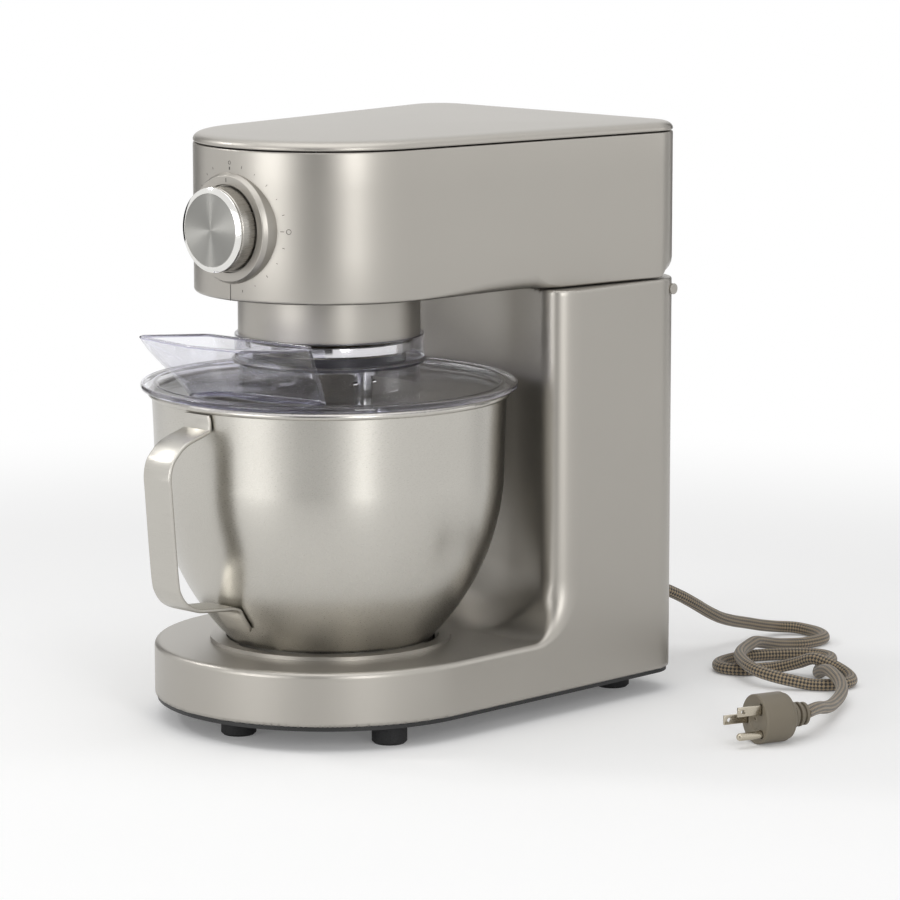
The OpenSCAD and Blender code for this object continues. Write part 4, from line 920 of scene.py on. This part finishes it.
# ---------------------------------------------------------------- casing and head
TOP_EDGE = 1.6
FOOT_EDGE = 1.5
FOOT_BELOW = 0.5
LEAST_ROUND = 0.1
SEAT_RADIUS, SEAT_FLOOR = 70.3, 41.0
# the box that the casing is wrapped in, and the size of its quads
WRAP_LOW, WRAP_HIGH, WRAP_STEP = (-114, -114, 13), (114, 216, 272), 2.1


def casing_solid(x, y, z):
    """Signed distance of the base and the hollow column, with the webs that join them."""
    sizes = bpy.context.scene.mixer_sizes
    ax, out = np.abs(x), np.hypot(x, y)
    to_back = np.hypot(np.maximum(ax - (HALF_WIDTH - CORNER), 0), np.maximum(y - (BACK - CORNER), 0)) - CORNER
    flat_back = np.maximum(ax - HALF_WIDTH, y - BACK)
    behind = np.where((ax > HALF_WIDTH - CORNER) & (y > BACK - CORNER), to_back, flat_back)
    plan = np.where(y < 0, out - HALF_WIDTH, behind)
    # the inner line of each side, with a round corner between base and column, and the rounding that grows along it
    low, corner = sizes.edge_round / MM, sizes.web_round / MM
    mid_y, mid_z = COLUMN_FRONT - corner, BASE_TOP - low + corner
    in_corner = y > mid_y
    line = np.where(z >= mid_z, COLUMN_FRONT - y,
                    np.where(in_corner, corner - np.hypot(y - mid_y, mid_z - z), z - BASE_TOP + low))
    share = np.where(z >= mid_z, 1.0,
                     np.where(in_corner, np.arctan2(y - mid_y, mid_z - z) / (math.pi / 2), 0.0))
    edge = low + (COLUMN_ROUND - low) * ease(share)
    cove_top = BASE_TOP + COVE
    in_cove = COVE - np.hypot(out - HOLLOW + COVE, cove_top - z)
    hollow = np.where(z >= cove_top, HOLLOW - out, np.where(out > HOLLOW - COVE, in_cove, z - BASE_TOP))
    column = round_both(line - edge, hollow, (COLUMN_ROUND - LEAST_ROUND) * ease(share) + LEAST_ROUND)
    body = round_both(round_both(plan, column, edge), z - COLUMN_TOP, TOP_EDGE)
    body = round_both(body, SHELL_BOTTOM - FOOT_BELOW - z, FOOT_EDGE)
    seat = np.maximum(out - SEAT_RADIUS, SEAT_FLOOR - z)
    return np.maximum(body, -seat)


class MIXER_OT_casing(bpy.types.Operator):
    """Base, column and the webs between them, as one sprayed casting"""

    bl_idname = "mixer.casing"
    bl_label = "Casing"

    def execute(self, context):
        casing = skin("casing", casing_solid, WRAP_LOW, WRAP_HIGH, WRAP_STEP)
        worn(casing, "paint", "body", "body_shell")
        return {"FINISHED"}


# Rounding under the head, and the stretches behind the bowl's axis over which it changes.
NOSE_ROUND, DECK_ROUND, HINGE_ROUND = 2.0, 1.2, 12.0
SIDE_GROWS, DECK_STARTS, HINGE_STARTS = (-10.0, 75.0), (88.0, 100.0), (186.0, 198.0)
# inset and height of the rings that follow the head's side, lip and inner wall
HEAD_RINGS = (
    (0, 300), (0, 340), (0, HEAD_TOP - 1.1), (0.1, HEAD_TOP - 0.6), (0.35, HEAD_TOP - 0.2), (0.9, HEAD_TOP),
    (3, HEAD_TOP), (3, HEAD_BOTTOM + 14), (15, HEAD_BOTTOM + 3))
UNDERSIDE_INSET = 14
EAR_AT, EAR_SLOT = (52.0, 203.2, 276.5), (9.2, 23.6, 21.0)
# the cover: a wall, then a round edge, then a low dome
COVER_RINGS = ((3, 0), (0.9, 0), (0.25, 0.25), (0, 0.9))
COVER_EDGE, COVER_RISE, COVER_INSET = 0.9, 4.6, 7
DOME_TOP, DOME_FALL, DOME_MIDDLE = 7.0, 1.4, 48
DOME_WIDE, DOME_LONG = 105 / 111, 159 / 165
DOME_SHARES = (0.96, 0.92, 0.86, 0.78, 0.68, 0.56, 0.42, 0.26, 0.1)
NECK_OUTLINE = (
    (53, 242, 0), (56, 242, 0.6), (57, 242.6, 0.6), (57, 266, 0), (57.0, 270.6, 0), (52, 270.6, 0), (52, 243, 0),
    (53, 242, 0))
HUB_OUTLINE = (
    (46.3, 233, 0), (51.6, 233, 0.8), (53, 234.2, 0.8), (53, 239.6, 0.9), (51.8, 241, 0.8), (46.3, 241, 0),
    (46.3, 233, 0))


def stretched(y, stretch):
    """0 to 1 over a stretch of the head's length, starting and ending gently."""
    return ease((y - stretch[0]) / (stretch[1] - stretch[0]))


def head_round(y, cove):
    """Rounding under the head: it grows along the sides, closes over the column and opens about the hinge."""
    if y > HINGE_STARTS[0]:
        return DECK_ROUND + (HINGE_ROUND - DECK_ROUND) * stretched(y, HINGE_STARTS)
    if y > DECK_STARTS[0]:
        return cove + (DECK_ROUND - cove) * stretched(y, DECK_STARTS)
    return NOSE_ROUND + (cove - NOSE_ROUND) * stretched(y, SIDE_GROWS)


class MIXER_OT_head(bpy.types.Operator):
    """Head with its cove, cover, neck and hub"""

    bl_idname = "mixer.head"
    bl_label = "Head"

    def execute(self, context):
        cove = context.scene.mixer_sizes.head_cove / MM
        plan = head_outline()
        rounds = [head_round(p.y, cove) for p, d in plan]
        rings = [inset_ring(plan, UNDERSIDE_INSET, HEAD_BOTTOM)]
        for a in (math.radians(15 * step) for step in range(7)):
            inward, up = 1 - math.sin(a), 1 - math.cos(a)
            rings.append([at(p.x - d.x * r * inward, p.y - d.y * r * inward, HEAD_BOTTOM + r * up)
                          for (p, d), r in zip(plan, rounds)])
        rings += [inset_ring(plan, inset, z) for inset, z in HEAD_RINGS]
        head = from_rings("head_casing", rings)
        for side in (-1, 1):
            carve(head, block(EAR_SLOT, (side * EAR_AT[0], EAR_AT[1], EAR_AT[2])))
        worn(smooth(head), "paint", "head", "head_shell")

        rings = [inset_ring(plan, inset, COVER_BOTTOM + up) for inset, up in COVER_RINGS]
        for a in (math.radians(10 * step) for step in range(1, 9)):
            z = COVER_BOTTOM + COVER_EDGE + COVER_RISE * math.sin(a)
            rings.append(inset_ring(plan, COVER_INSET * (1 - math.cos(a)), z))
        for share in DOME_SHARES:
            z = COVER_BOTTOM + DOME_TOP - DOME_FALL * share ** 2
            rings.append([at(q.x * share * DOME_WIDE, (q.y - DOME_MIDDLE) * share * DOME_LONG + DOME_MIDDLE, z)
                          for q, d in plan])
        worn(smooth(from_rings("head_lid", rings), 25), "paint", "head", "head_cover")
        worn(smooth(turned("neck", fillet(NECK_OUTLINE))), "paint", "head", "neck_housing")
        worn(smooth(turned("hub_ring", fillet(HUB_OUTLINE))), "bright", "carrier", "hub_skirt")
        return {"FINISHED"}


# ---------------------------------------------------------------- bowl
# The bowl's side is an arc: its radius, and where it stands upright.
BULGE, WIDEST, WIDEST_Z = 152.3, 109.5, 160.0
WALL = 1.2
BOWL_FOOT, INNER_FOOT = 52.0, 53.2
ARC_POINTS = 40
CURL_MIDDLE, CURL = (111.6, 206.6), 2.0


def bowl_radius(z, grow=0.0):
    """Radius of the bowl's outside at a height, with the arc grown by an offset."""
    return WIDEST - BULGE + math.sqrt((BULGE + grow) ** 2 - (WIDEST_Z - z) ** 2)


class MIXER_OT_bowl(bpy.types.Operator):
    """Spun bowl with its curled rim and foot"""

    bl_idname = "mixer.bowl"
    bl_label = "Bowl"

    def execute(self, context):
        outside = [(bowl_radius(z), z) for z in np.linspace(BOWL_FOOT, WIDEST_Z, ARC_POINTS)]
        outside = [(0, BOWL_FOOT)] + outside + [(110.2, 185), (111, 204.4)]
        rim = [(CURL_MIDDLE[0] + CURL * math.cos(a), CURL_MIDDLE[1] + CURL * math.sin(a))
               for a in (math.radians(d) for d in range(-70, 201, 18))]
        inside = [(bowl_radius(z, -WALL), z) for z in np.linspace(WIDEST_Z, INNER_FOOT + 0.2, ARC_POINTS)]
        inside = [(109.8, 204), (109.0, 185)] + inside + [(0, INNER_FOOT)]
        bowl = turned("bowl_spun", [(float(r), float(z)) for r, z in outside + rim + inside], 192)
        worn(smooth(bowl, 40), "bowl", "bowl", "bowl")
        return {"FINISHED"}


# The strap's middle line in front of the bowl, then the heights where it lies on the bowl's side.
STRAP = (
    (-112.35, 204.2), (-112.35, 195.5), (-114.55, 193.6), (-131.5, 188.2), (-140, 181.5), (-143.65, 176.5),
    (-145.25, 169), (-144.65, 160), (-141.6, 122.5), (-139.6, 103), (-137.5, 96.3), (-132.6, 90), (-125.5, 86),
    (-118, 84.3), (-97, 82.4), (-92.5, 81.6))
STRAP_LIES_AT, STRAP_OFF = (80.5, 76, 71.5, 67), 1.35
STRAP_HALF, STRAP_HALF_THICK = 11.75, 1.25
# the share of its width that each of the strap's last rings has, from the end inwards
STRAP_ENDS = (0.9, 0.955, 0.985, 0.997)


class MIXER_OT_handle(bpy.types.Operator):
    """Bent strap of the bowl handle, with rounded edges"""

    bl_idname = "mixer.handle"
    bl_label = "Bowl handle"

    def execute(self, context):
        r = context.scene.mixer_sizes.strap_round / MM
        line = list(STRAP)
        for z in STRAP_LIES_AT:
            n = Vector((math.sqrt(BULGE ** 2 - (WIDEST_Z - z) ** 2), z - WIDEST_Z)) / BULGE
            line.append((-(bowl_radius(z) + STRAP_OFF * n.x), z + STRAP_OFF * n.y))
        path = smooth_route([Vector((0, y, z)) for y, z in line], 5)
        wide, thick = STRAP_HALF - r, STRAP_HALF_THICK - r
        section = []
        for cx, cz, start in ((wide, thick, 0), (-wide, thick, 90), (-wide, -thick, 180), (wide, -thick, 270)):
            corner = [towards(start + a) * r for a in (0, 22.5, 45, 67.5, 90)]
            section += [(cx + p.x, cz + p.y) for p in corner]
        rings = []
        for i, p in enumerate(path):
            d = (path[min(i + 1, len(path) - 1)] - path[max(i - 1, 0)]).normalized()
            up = Vector((0, -d.z, d.y))
            end = min(i, len(path) - 1 - i)
            narrow = STRAP_ENDS[end] if end < len(STRAP_ENDS) else 1
            rings.append([at(x * narrow, *(p + up * h).yz) for x, h in section])
        worn(smooth(from_rings("handle_strap", rings), 40), "strap", "bowl", "bowl_handle")
        return {"FINISHED"}


# ---------------------------------------------------------------- lid and chute
LID_DECK, LID_TOP = 209.8, 213.2
# From the bead in the bowl over the rim, the deck, the cone and the collar round the neck, and back underneath.
LID_OUTLINE = (
    (105.4, 206.4, 0), (107.2, 206.4, 0.5), (107.2, 209.4, 0.6), (118, 209.4, 1.6), (118, LID_TOP, 1.7),
    (110.6, LID_TOP, 0.5), (110.1, 212.7, 0.3), (109.2, 212.7, 0.3), (108.7, LID_TOP, 0.5), (107.2, LID_TOP, 1.4),
    (105.2, LID_DECK, 1.2), (62, LID_DECK, 3), (57.2, 212.6, 3), (56, 224.4, 1.2), (60.4, 226, 0.9), (61, 228, 0.7),
    (59.3, 228.5, 0.5), (59.3, 243.5, 0.6), (57.6, 243.5, 0.4), (57.5, 228, 0.6), (54.4, 227.4, 0.9), (54.2, 222, 1.5),
    (54.8, 211, 3), (60, 207.6, 3), (104.2, 207.6, 0.6), (105.4, 206.4, 0))
# The pouring opening: a band about the bowl's axis with round ends.
OPENING_FROM, OPENING_TO, OPENING_STEP = 260, 303, 4
OPENING_MIDDLE, OPENING_HALF = 84, 14
BEAD = 1.3
# The chute's foot and rim: a string pulled round circles of this centre and radius.
CHUTE_FOOT = tuple((*(towards(a) * OPENING_MIDDLE), 16.2) for a in (OPENING_FROM, 274, 289, OPENING_TO))
CHUTE_RIM = ((-38, -118, 5), (-14, -94, 9), (64, -90, 9), (62, -100, 10), (44, -114, 11), (12, -120, 11))
CHUTE_TOP, CHUTE_WALL = 249.0, 2.1
CHUTE_SHARES = (0, 0.03, 0.1, 0.2, 0.35, 0.5, 0.65, 0.8, 0.92, 0.98, 1)
CHUTE_LIP = ((0.15, 0.45), (0.6, 0.05), (1.5, 0.05), (1.95, 0.45))


def on_lid_edge(r, z):
    """The lid's outer rim, the ridge inside it, and the two edges of its collar, which get the painted shade of a
    clear edge.
    """
    return r > 116.2 or (108 < r < 111 and z > 212.5) or (57 < r < 62 and (z > 243 or 225.5 < z < 228.8))


def on_chute_edge(r, z):
    """The chute's lip and foot, which get the painted shade of a clear edge."""
    return z > CHUTE_TOP - 2.2 or z < LID_DECK + 1.3


def chute_ring(share, inset, z):
    """Points round the chute, a share of the way from its foot's outline to its rim's."""
    points = []
    for t in range(0, 360, 5):
        (p, d), (q, e) = outline_point(CHUTE_FOOT, t), outline_point(CHUTE_RIM, t)
        mixed = p.lerp(q, share) - d * inset
        points.append(at(mixed.x, mixed.y, z))
    return points


def chute_side(h, inset):
    """The chute's ring at a share of its height: its wall leans out a little more in the middle."""
    return chute_ring(ease(h) * 0.35 + h * 0.65, inset, LID_DECK + (CHUTE_TOP - 1 - LID_DECK) * h)


class MIXER_OT_lid(bpy.types.Operator):
    """Clear splash lid with its pouring opening, and the chute that stands on it"""

    bl_idname = "mixer.lid"
    bl_label = "Lid and chute"

    def execute(self, context):
        lid = turned("splash_lid", fillet(LID_OUTLINE, 4), 160)
        outer, inner = OPENING_MIDDLE + OPENING_HALF, OPENING_MIDDLE - OPENING_HALF
        hole = [towards(a) * outer for a in range(OPENING_FROM, OPENING_TO + 1, OPENING_STEP)]
        hole += [towards(OPENING_TO) * OPENING_MIDDLE + OPENING_HALF * towards(OPENING_TO + t)
                 for t in range(12, 180, 12)]
        hole += [towards(a) * inner for a in range(OPENING_TO, OPENING_FROM - 1, -OPENING_STEP)]
        hole += [towards(OPENING_FROM) * OPENING_MIDDLE + OPENING_HALF * towards(OPENING_FROM + 180 + t)
                 for t in range(12, 180, 12)]
        carve(lid, from_rings("opening", [[at(q.x, q.y, z) for q in hole] for z in (203, 212)]))
        worn(smooth(lid, 30), "clear", "lid", "lid")
        paint_edge_shade(lid, on_lid_edge)

        # a bead round the opening, in the darker violet of painted shade for the dark outline of its cut edge
        rings = []
        for i, q in enumerate(hole):
            d = (hole[(i + 1) % len(hole)] - hole[i - 1]).normalized()
            side, up = Vector((d.y, -d.x, 0)), Vector((0, 0, 1))
            middle = Vector((q.x, q.y, LID_DECK - 0.2))
            rings.append([at(*(middle + BEAD * (math.cos(a) * side + math.sin(a) * up)))
                          for a in (math.radians(30 * k) for k in range(12))])
        worn(smooth(from_rings("opening_bead", rings, looped=True), 60), "edge", "lid")

        rings = [chute_side(h, 0) for h in CHUTE_SHARES]
        rings += [chute_ring(1, inset, CHUTE_TOP - down) for inset, down in CHUTE_LIP]
        rings += [chute_side(h, CHUTE_WALL) for h in CHUTE_SHARES[::-1]]
        chute = worn(smooth(from_rings("chute", rings, looped=True), 40), "clear", "lid", "pouring_chute")
        paint_edge_shade(chute, on_chute_edge)
        return {"FINISHED"}


# ---------------------------------------------------------------- knob and dial
# Outlines about the knob's axis, as radius, distance in front of the bowl's axis and rounding.
COLLAR_OUTLINE = (
    (0, 64, 0), (34, 64, 0), (34, 84.2, 0.7), (32.2, 87, 0.8), (26.9, 87, 0.35), (26.8, 85, 0.2), (0, 85, 0))
SKIRT_OUTLINE = (
    (0, 86, 0), (25.4, 86, 0.4), (26, 86.8, 0.4), (26, 96.6, 0.4), (25.6, 97.1, 0.2), (25.6, 97.7, 0.2),
    (26, 98.1, 0.2), (26, 98.7, 0.1), (0, 98.7, 0))
RIM_OUTLINE = (
    (22.4, 98.6, 0), (26, 98.6, 0), (25.9, 99.1, 0.3), (22.9, 100.5, 0.25), (22.4, 100.5, 0.1), (22.4, 98.6, 0))
FACE_OUTLINE = ((0, 98.6), (22.4, 98.6), (22.4, 100.2), (2.2, 100.2), (0, 100.15))
KNOB_STEPS = 160
INK = 0.12
# clock angle round the knob, radius, length and width of each printed bar, in degrees and millimetres
BARS = tuple((90 - 15 * k, 39.0, 1.6 if k % 2 else 0.9, 0.35) for k in range(1, 13) if k != 6) + tuple(
    (angle, 39.0, 1.2, 0.35) for angle in (115, 127, 143, 150)) + ((90, 36.6, 1.8, 0.9), (0, 37.0, 2.4, 0.4))
# across and up from the knob's axis, and radius, of each printed ring
SMALL_RINGS = ((0, 40.0, 1.0), (40.6, 0, 1.5))
# printed line on the collar, and the seam below it: name, middle, size
LINES = (
    ("collar_mark", (0, -87.0, KNOB_Z + 29.6), (0.6, 0.1, 2.6)),
    ("front_seam", (0, -FRONT_ROUND, 275.8), (0.5, 0.1, 10.2)))


def on_front(obj, x, z, turn=0.0, sunk=0.0):
    """Lays a printed mark, made at the origin, on the head's round front, turned and sunk into it."""
    y = sunk - math.sqrt(FRONT_ROUND ** 2 - x * x)
    face = Matrix.Rotation(math.atan2(x, sunk - y), 4, "Z")
    obj.data.transform(Matrix.Translation(at(x, y, z)) @ face @ Matrix.Rotation(turn, 4, "Y"))
    return obj


class MIXER_OT_knob(bpy.types.Operator):
    """Turned knob with its spun face, on its fixed ring, and the marks round it"""

    bl_idname = "mixer.knob"
    bl_label = "Knob and dial"

    def execute(self, context):
        collar = turned("dial_collar", fillet(COLLAR_OUTLINE, 4), KNOB_STEPS, "Y", KNOB_AXIS)
        worn(smooth(collar), "paint", "head", "dial_ring")
        knob = turned("knob_skirt", fillet(SKIRT_OUTLINE, 4), KNOB_STEPS, "Y", KNOB_AXIS)
        worn(smooth(knob), "knob", "knob", "knob_body")
        rim = turned("knob_rim", fillet(RIM_OUTLINE, 3), KNOB_STEPS, "Y", KNOB_AXIS)
        worn(smooth(rim, 20), "bright", "knob")
        cap = turned("knob_face", FACE_OUTLINE, KNOB_STEPS, "Y", KNOB_AXIS)
        worn(smooth(cap, 20), "spun", "knob", "knob_cap")

        marks = []
        for angle, radius, long, wide in BARS:
            a = math.radians(angle)
            bar = block((long, INK, wide))
            marks.append(on_front(bar, radius * math.cos(a), KNOB_Z + radius * math.sin(a), -a))
        for x, up, radius in SMALL_RINGS:
            nothing_selected()
            bpy.ops.mesh.primitive_torus_add(
                major_segments=24, minor_segments=6, major_radius=radius * MM, minor_radius=0.22 * MM,
                rotation=(math.pi / 2, 0, 0))
            marks.append(on_front(put(), x, KNOB_Z + up, sunk=INK))
        worn(joined(marks, "dial_marks"), "ink", "head")

        for name, middle, size in LINES:
            line = block(size, middle)
            line.name = name
            worn(line, "ink", "head")
        return {"FINISHED"}


# ---------------------------------------------------------------- panel and registration
class MIXER_PT_panel(bpy.types.Panel):
    """Makes each group of the mixer's pieces"""

    bl_label = "Stand mixer"
    bl_space_type = "VIEW_3D"
    bl_region_type = "UI"
    bl_category = "Mixer"

    def draw(self, context):
        for group in (context.scene.mixer_sizes, context.scene.mixer_colours):
            for name in group.__annotations__:
                self.layout.prop(group, name)
        for step in STEPS:
            self.layout.operator(step.bl_idname)


# The plug is made before the cord.
STEPS = (MIXER_OT_stage, MIXER_OT_plug, MIXER_OT_cord, MIXER_OT_frame_finishes, MIXER_OT_casing, MIXER_OT_head,
         MIXER_OT_bowl, MIXER_OT_handle, MIXER_OT_lid, MIXER_OT_knob)
CLASSES = (MixerSizes, MixerColours) + STEPS + (MIXER_PT_panel,)


def register():
    """Registers the classes and hangs the sizes and colours on the scene."""
    for c in CLASSES:
        bpy.utils.register_class(c)
    bpy.types.Scene.mixer_sizes = bpy.props.PointerProperty(type=MixerSizes)
    bpy.types.Scene.mixer_colours = bpy.props.PointerProperty(type=MixerColours)


def unregister():
    """Takes off what register put on."""
    del bpy.types.Scene.mixer_colours
    del bpy.types.Scene.mixer_sizes
    for c in reversed(CLASSES):
        bpy.utils.unregister_class(c)


def main():
    """Makes every piece."""
    register()
    nothing_selected()
    for step in STEPS:
        group, call = step.bl_idname.split(".")
        getattr(getattr(bpy.ops, group), call)()


if __name__ == "__main__":
    main()
